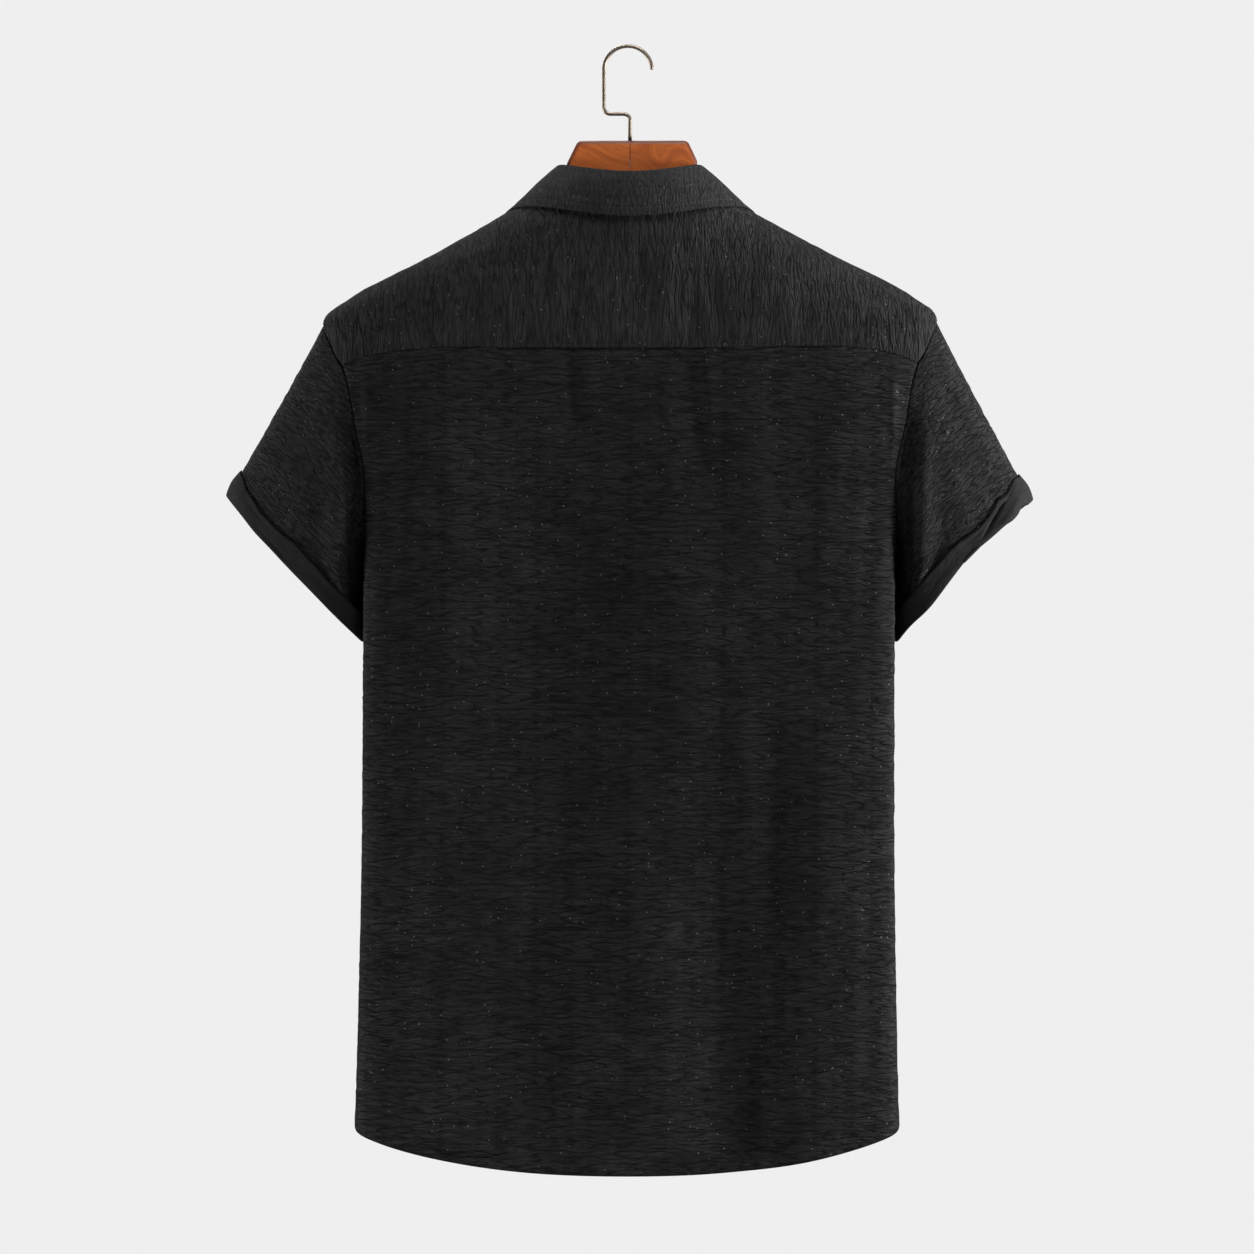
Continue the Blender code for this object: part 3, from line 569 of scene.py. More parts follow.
def plainMaterial(name, colour, rough, specular, bump, scale):
    # a small even finish with faint variation in tone and gloss
    made, tree, shader = newMaterial(name)
    noise = noiseAt(tree, put(tree, "ShaderNodeTexCoord").outputs["Object"], scale, 3.0)
    darker, lighter = (tuple(c * share for c in colour) + (1,) for share in (0.75, 1.25))
    fill(tree, shader, {"Base Color": mixColour(tree, noise, darker, lighter),
        "Roughness": mapped(tree, noise, 0.3, 0.7, rough * 0.85, rough * 1.15),
        "Specular IOR Level": specular})
    if bump:
        fill(tree, shader, {"Normal": bumped(tree, noise, bump)})
    return made
threadBlack = plainMaterial("threadBlack", (0.014, 0.014, 0.0145), 0.7, 0.1, 0.05, 3000.0)
# the collar's thread is lighter than the cloth: painted sheen
threadPaintedSheen = plainMaterial("threadPaintedSheen", (0.034, 0.034, 0.035), 0.6, 0.2, 0.05, 3000.0)
print("cloth and thread finishes made")

# back panel

bodyCrinkle = {"height": 1.3, "length": 30, "gap": 6.5, "wander": 5.0}
backLook = {"rows": 236, "flat": 58, "corner": 15, "wall": 0.9, "seamGap": 0.2,
    # the seam allowance reaches up behind the yoke's edge, at this depth
    "lap": (2.0, 1.1, 0.4), "lapDeep": 1.4, "crinkle": dict(bodyCrinkle, seed=11), "hem": 8.0,
    # x and z of both ends, half width, rise: all in millimetres
    "creases": ((-46, -240, -40, -312, 5, -1.6), (-33, -238, -30, -290, 4, 1.1),
    (46, -240, 55, -330, 6, -1.7), (60, -239, 66, -298, 4, 1.2), (-150, -245, -128, -420, 13, 1.4),
    (-186, -300, -150, -520, 9, -1.2), (168, -250, 150, -400, 12, 1.3), (190, -330, 176, -470, 8, -1.3),
    (112, -242, 108, -300, 5, -0.9), (-98, -241, -96, -283, 4, -0.8), (-70, -430, -92, -640, 16, -1.2),
    (70, -420, 96, -610, 14, 1.2), (150, -560, 128, -800, 12, 1.1), (-150, -640, -158, -840, 11, -1.4),
    (-203, -244, -204, -360, 3.5, 1.2), (-213, -262, -211, -350, 6, -2.2),
    (203, -244, 204, -350, 3.0, 1.2), (213, -262, 211, -340, 6, -2.0), (34, -330, 44, -560, 30, 3.2),
    (-50, -300, -56, -640, 50, -6.0), (88, -240, 98, -480, 20, 1.6), (-130, -250, -160, -560, 40, 3.4),
    (108, -520, 118, -800, 12, -2.6), (88, -480, 92, -790, 16, 2.6), (24, -640, 40, -900, 32, 4.4),
    (-52, -600, -62, -900, 34, -6.5), (-136, -720, -130, -910, 30, 4.6), (98, -780, 104, -900, 16, -3.6),
    (160, -560, 166, -860, 20, 2.6), (186, -640, 182, -810, 8, -1.2))}


def bandHeight(away, width, rise):
    # a turned edge: a raised band that ends in a shallow groove
    band = rise * (1 - easeStep(width - 1.2, width, away))
    return band - rise * 0.9 * np.exp(-((away - width - 0.3) / 0.9) ** 2)


def halfColumns(side, down, end, flat, corner):
    ring = bodyRing(down)
    bend = min(shareAtDepth(side, down, 0.9 * ring["sizes"][side + "Depth"]), end - 0.01)
    return np.concatenate((np.linspace(0, bend, flat + 1), np.linspace(bend, end, corner + 1)[1:]))


def bodyDowns(first, count):
    return np.linspace(first, hemLevel, count)


def makeBack(look):
    rows, along = [], []
    first = yokeLevel + look["seamGap"]
    lap = len(look["lap"])
    for down in np.concatenate((first - np.array(look["lap"]), bodyDowns(first, look["rows"]))):
        ring = bodyRing(down)
        quarter = ring["back"][2][-1]
        end = armholeShare("back", down) - 0.15 / quarter
        half = halfColumns("back", down, end, look["flat"], look["corner"])
        around = np.concatenate((-half[:0:-1], half))
        rows.append(bodyRow(down, around) + np.array((0.0, look["lapDeep"] * (down < first), 0.0)))
        along.append(around * quarter)
    rows, along = np.array(rows), np.array(along)
    across = -rows[:, :, 2]
    fromTop, toHem, walked = gridDistances(rows)
    fromTop = fromTop - fromTop[lap]
    toSide = fromNearEnd(walked)
    calm = easeStep(0, 10, toSide) * easeStep(look["hem"], look["hem"] + 8, toHem)
    height = crinkleHeight(along, across, look["crinkle"]) * (0.25 + 0.75 * calm)
    height = height + creaseHeight(rows, look["creases"]) * calm
    height = height + bandHeight(toHem, look["hem"], 0.45)
    height = height - 0.5 * np.exp(-(fromTop / 1.6) ** 2)
    height[:lap] = -0.3
    grid = {"rows": rows, "height": height, "along": along, "across": across,
        "wall": edgeTaper(toHem, 2.0)}
    made = clothPiece("backPanel", "back_panel", [grid], look["wall"], bodyCloth, fromAxis)
    grid.update(toHem=toHem)
    print("back panel:", rows.shape, "width", round(walked[-1, -1], 1), "length",
        round(fromTop[-1].max(), 1))
    return made, grid


backPanel, backGrid = makeBack(backLook)

# back yoke, with the strip that reaches over the shoulders to the front

yokeLook = {"shoulderRows": 52, "lowerRows": 11, "columns": 200, "overColumns": 16, "wall": 1.0,
    "crinkle": {"height": 1.0, "length": 34, "gap": 5.5, "wander": 5.0, "seed": 31},
    "creases": ((-224, -207, -216, -238, 2.2, -0.9), (-217, -204, -212, -230, 2.0, 0.7),
    (-210, -203, -206, -230, 2.0, -0.8), (-197, -202, -198, -232, 2.4, -0.8),
    (171, -205, 174, -232, 2.2, -0.8), (188, -199, 179, -234, 2.4, -0.9),
    (195, -202, 190, -234, 2.2, 0.7), (203, -202, 197, -233, 2.2, -0.8),
    (213, -210, 211, -237, 2.0, -0.8), (-60, -160, -64, -210, 2.4, -0.7),
    (-118, -190, -114, -233, 2.2, -0.8), (10, -150, 8, -200, 2.4, -0.7), (52, -190, 46, -234, 2.2, -0.8),
    (92, -170, 96, -220, 2.4, -0.7), (142, -196, 150, -235, 2.4, 0.8), (-76, -196, -80, -235, 2.2, -0.7),
    (-150, -196, -162, -236, 5, -1.0), (-96, -186, -92, -234, 5, 1.0), (-38, -150, -46, -232, 6, -1.1),
    (30, -156, 24, -228, 7, 0.9), (64, -172, 70, -234, 5, -1.1), (118, -186, 126, -235, 6, 0.9),
    (180, -208, 172, -236, 5, -0.9), (-196, -214, -186, -236, 5, 0.8))}


def makeYoke(look):
    shoulder = np.linspace(neckLevel, tipLevel, look["shoulderRows"])
    lower = np.linspace(tipLevel, yokeLevel, look["lowerRows"])
    share = np.linspace(-1, 1, look["columns"] + 1)
    upperRows, lowerRows = [], []
    for down in shoulder:
        over = np.linspace(0, frontSeamShare(down), look["overColumns"] + 1)[1:]
        around = np.concatenate((-1 - over[::-1], share, 1 + over))
        upperRows.append(bodyRow(down, around))
    for down in lower:
        end = 1.0 if down <= tipLevel else armholeShare("back", down)
        lowerRows.append(bodyRow(down, share * end))
    upper, low = np.array(upperRows), np.array(lowerRows)
    over = look["overColumns"]
    upLength = runLength(upper, 0)
    lowLength = runLength(low, 0) + upLength[-1][over:-over][None, :]
    seam = lowLength[-1]
    grids = []
    for rows, length in ((upper, upLength), (low, lowLength)):
        x, z = rows[:, :, 0], rows[:, :, 2]
        if rows is upper:
            toSeam = np.full(length.shape, 60.0)
            toSeam[:, over:-over] = seam[None, :] - length[:, over:-over]
            toFront = fromNearEnd(runLength(rows, 1))
        else:
            toSeam = seam[None, :] - length
            toFront = fromNearEnd(runLength(rows, 1)) + 30
        calm = easeStep(1.5, 8, toSeam) * (0.3 + 0.7 * easeStep(2, 10, toFront))
        downGrain = -z - 0.9 * rows[:, :, 1]
        height = crinkleHeight(downGrain, x, look["crinkle"]) * (0.2 + 0.8 * calm)
        height = height + creaseHeight(rows, look["creases"]) * calm * (rows[:, :, 1] < 5)
        height = height + bandHeight(toSeam, 1.8, 0.1) + 0.35 * np.exp(-((toFront - 1.5) / 1.6) ** 2)
        grids.append({"rows": rows, "height": height, "along": downGrain + 700, "across": x + 700,
            "wall": edgeTaper(toSeam, 1.5), "toSeam": toSeam})
    made = clothPiece("backYoke", "back_yoke", grids, look["wall"], yokeClothPaintedLight,
        lambda c: c * np.array((1.0, 0.0, 1.0)) - np.array((0.0, 0.0, 100.0)))
    print("yoke: length at centre", round(float(seam[len(seam) // 2]), 1), "over", upper.shape)
    return made, grids


backYoke, yokeGrids = makeYoke(yokeLook)

# fronts: the wearer's left one laps over the right one

frontLook = {"upperRows": 44, "rows": 236, "closure": range(-15, 34, 3), "flat": 44, "corner": 15,
    "wall": 0.9, "sink": 2.1, "seamGap": 0.8, "hem": 8.0,
    # seam allowances under the yoke's and the back's edges: how far and how deep
    "lap": (0.5, 1.2, 2.4), "lapDeep": 1.4, "band": 32.0, "crinkle": dict(bodyCrinkle, seed=51),
    "creases": {-1: ((-60, -215, -84, -330, 9, -1.3), (-150, -250, -118, -400, 11, 1.2),
    (-186, -330, -150, -520, 9, -1.3), (-48, -420, -70, -640, 14, 1.1),
    (-120, -560, -138, -800, 12, -1.4), (-178, -620, -172, -820, 9, 1.0),
    (-74, -690, -60, -850, 11, -1.3), (-30, -300, -38, -410, 6, -0.9)), 1: ((64, -214, 90, -340, 9, -1.2),
    (158, -250, 128, -430, 12, 1.2), (190, -340, 160, -500, 8, -1.2), (60, -430, 84, -600, 13, -1.1),
    (134, -580, 120, -810, 12, 1.3), (180, -650, 176, -800, 8, -1.0), (84, -700, 70, -850, 10, 1.2),
    (44, -560, 50, -760, 8, -1.0))}}


def makeFront(turn, name, node, look):
    downs = np.concatenate((np.linspace(neckLevel, tipLevel, look["upperRows"]),
        bodyDowns(tipLevel + 3, look["rows"])))
    rows, along = [], []
    for down in downs:
        ring = bodyRing(down)
        quarter = ring["front"][2][-1]
        if down <= tipLevel:
            end = 1 - frontSeamShare(down)
        else:
            end = armholeShare("front", down)
        end -= (0.3 if down > underarmLevel else look["seamGap"]) / quarter
        lapped = not tipLevel < down <= underarmLevel
        lap = np.array(look["lap"] if lapped else (0.1, 0.2, 0.3)) / quarter
        closure = np.array(look["closure"]) / quarter
        start = closure[-1]
        if down > tipLevel:
            bend = min(shareAtDepth("front", down, 0.9 * ring["sizes"]["frontDepth"]), end - 0.01)
            beyond = np.concatenate((np.linspace(start, bend, look["flat"] + 1)[1:],
                np.linspace(bend, end, look["corner"] + 1)[1:]))
        else:
            beyond = np.linspace(start, end, look["flat"] + look["corner"] + 1)[1:]
        share = np.concatenate((closure, beyond, end + lap))
        line = bodyRow(down, turn * (2 - share))
        if lapped:
            inward = np.array((-turn, 0.0, 0.0) if down > tipLevel else (0.0, -0.4, -0.9))
            deep = look["lapDeep"] * easeStep(0, 1, (share - end) * quarter)
            line = line + inward * deep[:, None]
        if turn > 0:
            sink = look["sink"] * (1 - easeStep(18, 31, line[:, 0]))
            slope = np.gradient(line, axis=0)
            ahead = unit(np.cross(slope, np.array((0.0, 0.3, 1.0))))
            ahead *= np.where(ahead[:, 1:2] < 0, -1, 1)
            line = line - ahead * sink[:, None]
        rows.append(line)
        along.append(share * quarter)
    rows, along = np.array(rows), np.array(along)
    level = look["upperRows"] + 12
    ahead = rows[:, :, 1] - rows[level, :, 1]
    ahead[level:] = 0
    across = -rows[:, :, 2] + 0.9 * ahead + 900 * (turn + 2)
    fromTop, toHem, fromEdge = gridDistances(rows)
    toSide = fromEdge[:, -1:] - fromEdge
    inBand = 1 - easeStep(look["band"] - 4, look["band"] + 4, fromEdge)
    calm = easeStep(0, 10, toSide) * easeStep(look["hem"], look["hem"] + 8, toHem)
    calm = calm * easeStep(0, 9, fromTop) * (1 - 0.75 * inBand)
    height = crinkleHeight(along, across, look["crinkle"], turn) * (0.22 + 0.78 * calm)
    height = height + creaseHeight(rows, look["creases"][turn]) * calm
    height = height + bandHeight(toHem, look["hem"], 0.45)
    height = height + 0.5 * (1 - easeStep(look["band"] - 1.4, look["band"], fromEdge))
    height = height - 0.45 * np.exp(-((fromEdge - look["band"] - 0.4) / 0.9) ** 2)
    if turn > 0:
        height = np.minimum(height, 0.3 + 2.0 * easeStep(24, 36, fromEdge))
    grid = {"rows": rows, "height": height, "along": along + 400, "across": across,
        "wall": edgeTaper(np.minimum(toHem, fromEdge + 0.8), 2.0)}
    made = clothPiece(name, node, [grid], look["wall"], bodyCloth, fromAxis)
    grid.update(toHem=toHem, fromEdge=fromEdge)
    print(name, rows.shape, "width", round(fromEdge[-1, -1], 1), "length", round(fromTop[-1].max(), 1))
    return made, grid


frontLeft, leftGrid = makeFront(-1, "frontLeft", "front_left", frontLook)
frontRight, rightGrid = makeFront(1, "frontRight", "front_right", frontLook)

# sleeves and their turned-up cuffs

sleeveLook = {"around": 176, "rows": 96, "wall": 0.9, "seamGap": 0.75, "underarmLift": 0.8,
    # seam allowance: how far back under the body's edge, and how deep, row by row
    "tuck": ((6.0, 2.6), (4.0, 2.6), (2.0, 2.6), (0.6, 2.6), (-0.3, 2.2), (-0.7, 1.1)), "belly": 5.0,
    "crown": -0.8, "cuffDepth": 36.0, "cap": 0.2, "slant": 26.0, "crinkle": {"height": 1.2, "length": 26,
    "gap": 6.0, "wander": 4.0, "seed": 71}, "places": {"left": {"tip": (313.0, 0.0, -349.0),
    "inner": (208.6, 0.0, -461.5), "sag": 2.0}, "right": {"tip": (312.6, 0.0, -352.0),
    "inner": (208.0, 0.0, -461.5), "sag": -4.5}}, "creases": {"left": ((-228, -290, -222, -462, 9, 4.5),
    (-216, -300, -212, -470, 6, -8.0), (-240, -262, -268, -320, 7, -1.1),
    (-244, -310, -262, -380, 8, 1.2), (-262, -276, -290, -330, 7, 0.9),
    (-236, -350, -250, -424, 6, -1.0)), "right": ((228, -290, 223, -458, 9, 4.0),
    (216, -300, 212, -470, 6, -8.0), (238, -262, 268, -326, 7, -1.1), (244, -306, 262, -390, 8, 1.1),
    (258, -276, 292, -336, 7, 0.9), (234, -350, 246, -424, 6, -1.1))}}
cuffLook = {"around": 176, "wall": 0.9, "inside": -1.5, "lift": 1.9, "below": 1.6, "tipFull": 1.8,
    "crinkle": {"height": 0.35, "length": 26, "gap": 9, "wander": 5, "seed": 81},
    # place round the sleeve from 0 at the tip, and the turned-up height there
    "heights": ((0.0, 20.0), (0.06, 18.0), (0.12, 13.5), (0.18, 12.0), (0.26, 15.5), (0.38, 17.5),
    (0.50, 18.5), (0.62, 18.0), (0.75, 15.5), (0.88, 17.5), (1.0, 22.0)),
    "waves": {"left": ((0.09, 0.02, -1.2), (0.15, 0.02, -1.0), (0.235, 0.02, 1.4), (0.32, 0.03, -0.8),
    (0.66, 0.04, 1.2), (0.84, 0.04, -1.4)), "right": ((0.07, 0.03, 3.0), (0.13, 0.02, 3.4),
    (0.20, 0.02, -1.2), (0.30, 0.04, -0.8), (0.62, 0.03, 1.3), (0.80, 0.04, -1.2))},
    "lowWaves": {"left": ((0.16, 0.03, 0.8), (0.30, 0.05, -0.5), (0.70, 0.05, 0.7)),
    "right": ((0.085, 0.014, -2.4), (0.12, 0.02, 0.8), (0.231, 0.035, -2.0), (0.335, 0.045, 2.8))},
    # seen from behind: x and z of both ends, half width, rise
    "creases": {"left": ((-300, -352, -282, -372, 2.0, -0.8), (-288, -376, -262, -404, 2.2, -0.7),
    (-250, -414, -232, -432, 3.0, 0.6)), "right": ((298, -340, 270, -390, 1.6, -2.0),
    (304, -348, 281, -390, 4.0, 2.2), (287, -340, 262, -384, 6.0, -2.4),
    (256, -401, 238, -420, 3.0, 0.6))}}


def resampleHalves(points, others, bottom, count):
    # even points on both halves of a loop, and the same places on other loops beside it
    half = count // 2
    loops = [np.vstack((loop, loop[:1])) for loop in [points] + others]
    out = [[] for loop in loops]
    for cut in (slice(0, bottom + 1), slice(bottom, None)):
        part = loops[0][cut]
        length = np.concatenate(([0.0], np.cumsum(np.linalg.norm(np.diff(part, axis=0), axis=1))))
        at = length[-1] * np.arange(half) / half
        for k, loop in enumerate(loops):
            out[k].append(np.stack([np.interp(at, length, loop[cut][:, i]) for i in range(3)], axis=1))
    return [np.concatenate(halves) for halves in out]


def armholeLoop(turn, count, look):
    # from the shoulder tip down the back, round the underarm and up the front
    downs = [row[0] for row in armholeTable]
    fine = [a + (b - a) * k / 6 for a, b in zip(downs, downs[1:]) for k in range(6)]
    fine.append(underarmLevel)
    keys = [(armholeShare("back", d), d) for d in fine]
    keys += [(2 - armholeShare("front", d), d) for d in reversed(fine[:-1])]
    start = keys[-1][0]
    keys += [(start + (1 - start) * k / 8, tipLevel) for k in range(1, 8)]
    centre = np.array((turn * 215.0, 0.0, -310.0))
    points = np.array([bodyPoint(turn * a, d) for a, d in keys])
    lifted = np.array([bodyNormal(turn * a, d) for a, d in keys])
    tangent = np.roll(points, -1, axis=0) - np.roll(points, 1, axis=0)
    inward = unit(np.cross(lifted, tangent))
    inward[np.sum(inward * (centre - points), axis=1) < 0] *= -1
    under = easeStep(300, 380, -points[:, 2])[:, None]
    moved = points + inward * look["seamGap"] + lifted * look["underarmLift"] * under
    tucks = [moved - inward * back - lifted * deep for back, deep in look["tuck"]]
    return resampleHalves(moved, tucks, len(fine) - 1, count)


def cuffLoop(turn, place, count, depth):
    tip, inner = np.array(place["tip"]), np.array(place["inner"])
    downSleeve = np.array((inner[2] - tip[2], 0.0, tip[0] - inner[0]))
    downSleeve /= -np.linalg.norm(downSleeve)
    angle = 2 * math.pi * np.arange(count) / count
    points = (tip + inner) / 2 + (tip - inner) / 2 * np.cos(angle)[:, None]
    points[:, 1] = -depth * np.sign(np.sin(angle)) * np.abs(np.sin(angle)) ** 0.85
    points += downSleeve * place["sag"] * (np.sin(angle) ** 2)[:, None]
    points[:, 0] *= turn
    return points


def sleeveRow(armhole, cuff, along, look):
    # along is 0 at the armhole and 1 at the sleeve's end, one value or one for each point
    along = np.broadcast_to(np.asarray(along, float), (len(armhole),))
    share = np.arange(len(armhole)) / len(armhole)
    swell = np.sin(math.pi * np.minimum(along, 1))
    line = armhole * (1 - along[:, None]) + cuff * along[:, None]
    line[:, 1] -= np.sin(2 * math.pi * share) * look["belly"] * swell
    crown = np.maximum(0, np.cos(2 * math.pi * share)) * look["crown"] * swell
    line[:, 0] += np.sign(line[:, 0]) * crown
    line[:, 2] += crown * 0.5
    return line


def closeLoop(rows, half):
    # starts the loop at the underarm, and repeats its first column at the end
    rolled = np.roll(rows, -half, axis=1)
    return np.concatenate((rolled, rolled[:, :1]), axis=1)


def bumpsAlong(share, bumps):
    return sum(rise * np.exp(-((share - place) / width) ** 2) for place, width, rise in bumps)


def makeSleeve(turn, side, look):
    count = look["around"]
    half = count // 2
    armhole, *tucks = armholeLoop(turn, count, look)
    cuff = cuffLoop(turn, look["places"][side], count, look["cuffDepth"])
    rows = np.array([sleeveRow(armhole, cuff, a, look) for a in np.linspace(0, 1, look["rows"])])
    rows[0] = rows[0] * 0.5 + rows[1] * 0.5
    rows = np.concatenate((np.array(tucks), rows))
    rows = closeLoop(rows, half)
    fromTop = runLength(rows, 0)
    # the sleeve head rounds over from the shoulder's tip
    head = np.exp(-((np.arange(count + 1) - half) / 9.0) ** 2)[None, :] * np.exp(-((fromTop - 10) / 9) ** 2)
    rows = rows + (head * look["cap"])[:, :, None] * np.array((turn * 0.85, 0.0, 0.53))
    toEnd = fromTop[-1][None, :] - fromTop
    walked = runLength(rows, 1)
    along = walked - walked[:, -1:] / 2
    slant = math.radians(look["slant"])
    across = (turn * rows[:, :, 0] * math.sin(slant) - rows[:, :, 2] * math.cos(slant) - toEnd) / 2
    calm = easeStep(8, 16, fromTop)
    under = 1 - easeStep(12, 26, toEnd)
    height = crinkleHeight(along, across, look["crinkle"], turn) * (0.2 + 0.8 * calm)
    behind = np.where(rows[:, :, 1] < 0, 1.0, -0.8)
    height = height + creaseHeight(rows, look["creases"][side]) * calm * behind
    height = height * (1 - under) - 0.2 * under
    grid = {"rows": rows, "height": height, "along": along + 300 * turn, "across": across + 1200,
        "wall": edgeTaper(toEnd, 1.0)}
    centre = np.array((turn * 255.0, 0.0, -350.0))
    made = clothPiece("sleeve" + side.capitalize(), "sleeve_" + side, [grid], look["wall"], sleeveCloth,
        lambda c: np.broadcast_to(centre, c.shape))
    print("sleeve", side, "length", round(fromTop[-1].mean(), 1))
    return made, armhole, cuff


def makeCuff(turn, side, armhole, cuff, look):
    # the section goes from inside the sleeve round its lower edge, and up outside to a rolled edge
    count = look["around"]
    share = np.arange(count) / count
    keys, tall = zip(*look["heights"])
    height = np.array([smoothValues(keys, tall, s) for s in share])
    height = height + bumpsAlong(share, look["waves"][side])
    lowEdge = -bumpsAlong(share, look["lowWaves"][side])
    lengths = np.linalg.norm(cuff - armhole, axis=1)
    upper, lower = (sleeveRow(armhole, cuff, a, sleeveLook) for a in (0.8, 1.0))
    outward = unit(np.cross(lower - upper, np.roll(cuff, -1, axis=0) - np.roll(cuff, 1, axis=0)))
    if np.sum(outward * (cuff - cuff.mean(axis=0))) < 0:
        outward = -outward
    inside, lift = look["inside"], look["lift"]
    # each line's edge, how far up the sleeve, how far out from it, and how full it is at the tip
    section = [("", up, inside, 0) for up in (0.55, 0.3, 0.12)]
    section += [("low", math.sin(a), inside + (lift - inside) * (1 - math.cos(a)) / 2, 0)
        for a in np.linspace(0.25, math.pi - 0.25, 8)]
    section += [("", up, lift - 0.25 * math.sin(math.pi * up), math.sin(math.pi * up))
        for up in np.linspace(0.06, 0.93, 26)]
    section += [("top", math.sin(a), 0.75 + 0.55 * (1 + math.cos(a)), 0)
        for a in np.linspace(0.35, math.pi - 0.1, 8)]
    section += [("", up, 0.7, 0) for up in (0.93, 0.86, 0.78)]
    tipFull = look["tipFull"] * np.maximum(0, np.cos(2 * math.pi * share)) ** 4
    band = []
    for edge, up, out, full in section:
        if edge == "low":
            rise = lowEdge - look["below"] * up
        elif edge == "top":
            rise = height * 0.955 + 1.3 * up
        else:
            rise = height * up
        line = sleeveRow(armhole, cuff, 1 - rise / lengths, sleeveLook)
        band.append(line + outward * (out + tipFull * full)[:, None])
    band = closeLoop(np.array(band), count // 2)
    climb, toRim, walked = gridDistances(band)
    around = walked - walked[:, -1:] / 2
    puff = crinkleHeight(around, climb, look["crinkle"], turn)
    folds = creaseHeight(band, look["creases"][side])
    outer = easeStep(12, 15, climb) * (toRim > toRim[-6][None, :])
    grid = {"rows": band, "height": (puff + folds * (band[:, :, 1] < 0)) * outer, "along": around,
        "across": climb + 1500, "wall": np.ones(climb.shape)}
    low = cuff.mean(axis=0)
    print("cuff", side, "climb", round(climb[-1].mean(), 1))
    return clothPiece("cuff" + side.capitalize(), "cuff_" + side, [grid], look["wall"], smoothCloth,
        lambda c: np.broadcast_to(low, c.shape))


for turn, side in ((-1, "left"), (1, "right")):
    sleeve, armhole, cuff = makeSleeve(turn, side, sleeveLook)
    turned = makeCuff(turn, side, armhole, cuff, cuffLook)

# collar stand and collar fall

standLook = {"columns": 260, "rows": 26, "wall": 1.5, "overlap": 0.13, "tuck": 2.2, "neckLift": 0.9,
    "crinkle": {"height": 0.25, "length": 18, "gap": 7, "wander": 4, "seed": 91},
    "top": {"sideDrop": 96.0, "backDrop": 103.5, "frontDrop": 157, "halfWidth": 54.5, "backDepth": 44,
    "frontDepth": 53, "backRound": 2.0, "frontRound": 2.0, "backBend": 2.0, "frontBend": 1.6,
    "ease": 1.0}}
fallLook = {"columns": 300, "rows": 44, "wall": 1.5, "lift": 3.4, "restsBy": 2.4, "endAtFold": 1.93,
    "endAtPoint": 1.66, "stitchIn": 6.0,
    # place round the neck, drop of the edge, belly, crest over the stand
    "table": ((0.0, 128.5, 7.5, 2.6), (0.6, 129.8, 6.5, 2.6), (1.0, 136.5, 1.0, 2.6),
    (1.4, 163.0, 8.0, 2.8), (1.75, 192.0, 9.0, 3.0), (2.0, 205.0, 9.0, 3.0)),
    "crinkle": {"height": 0.55, "length": 17, "gap": 6.0, "wander": 4.0, "seed": 101}}
standRing = makeRing(standLook["top"])
neckRing = bodyRing(neckLevel)


def standPoints(around, height):
    # points of the stand for arrays of places round the neck at one height
    around = np.asarray(around, float)
    low = ringPoints(neckRing, around) + np.array((0, 0, standLook["neckLift"]))
    high = ringPoints(standRing, around)
    leaning = height ** 1.4
    points = low * (1 - leaning) + high * leaning
    points[:, 2] = low[:, 2] * (1 - height) + high[:, 2] * height
    flat = unit(points * np.array((1.0, 1.0, 0.0)))
    tuck = easeStep(0.0, standLook["overlap"] * 0.8, around - (2 - standLook["overlap"] * 1.3))
    return points - flat * (tuck * standLook["tuck"])[:, None]


def makeStand(look):
    reach = 2 + look["overlap"]
    around = np.linspace(-reach, reach, look["columns"])
    rows = np.array([standPoints(around, h) for h in np.linspace(0, 1, look["rows"])])
    climb, toTop, walked = gridDistances(rows)
    toEdge = fromNearEnd(walked)
    height = crinkleHeight(walked, climb, look["crinkle"])
    height = height * easeStep(1, 5, climb)
    height = height - 0.25 * np.exp(-((toEdge - 5) / 0.8) ** 2)
    grid = {"rows": rows, "height": height, "along": climb, "across": walked + 2000,
        "wall": edgeTaper(np.minimum(np.minimum(climb, toTop), toEdge), 1.2)}
    made = clothPiece("collarStand", "collar_stand", [grid], look["wall"], smoothCloth, fromAxis)
    grid.update(climb=climb)
    print("stand: round", round(walked[0, -1], 1), "height", round(climb[-1].mean(), 1))
    return made, grid


collarStand, standGrid = makeStand(standLook)


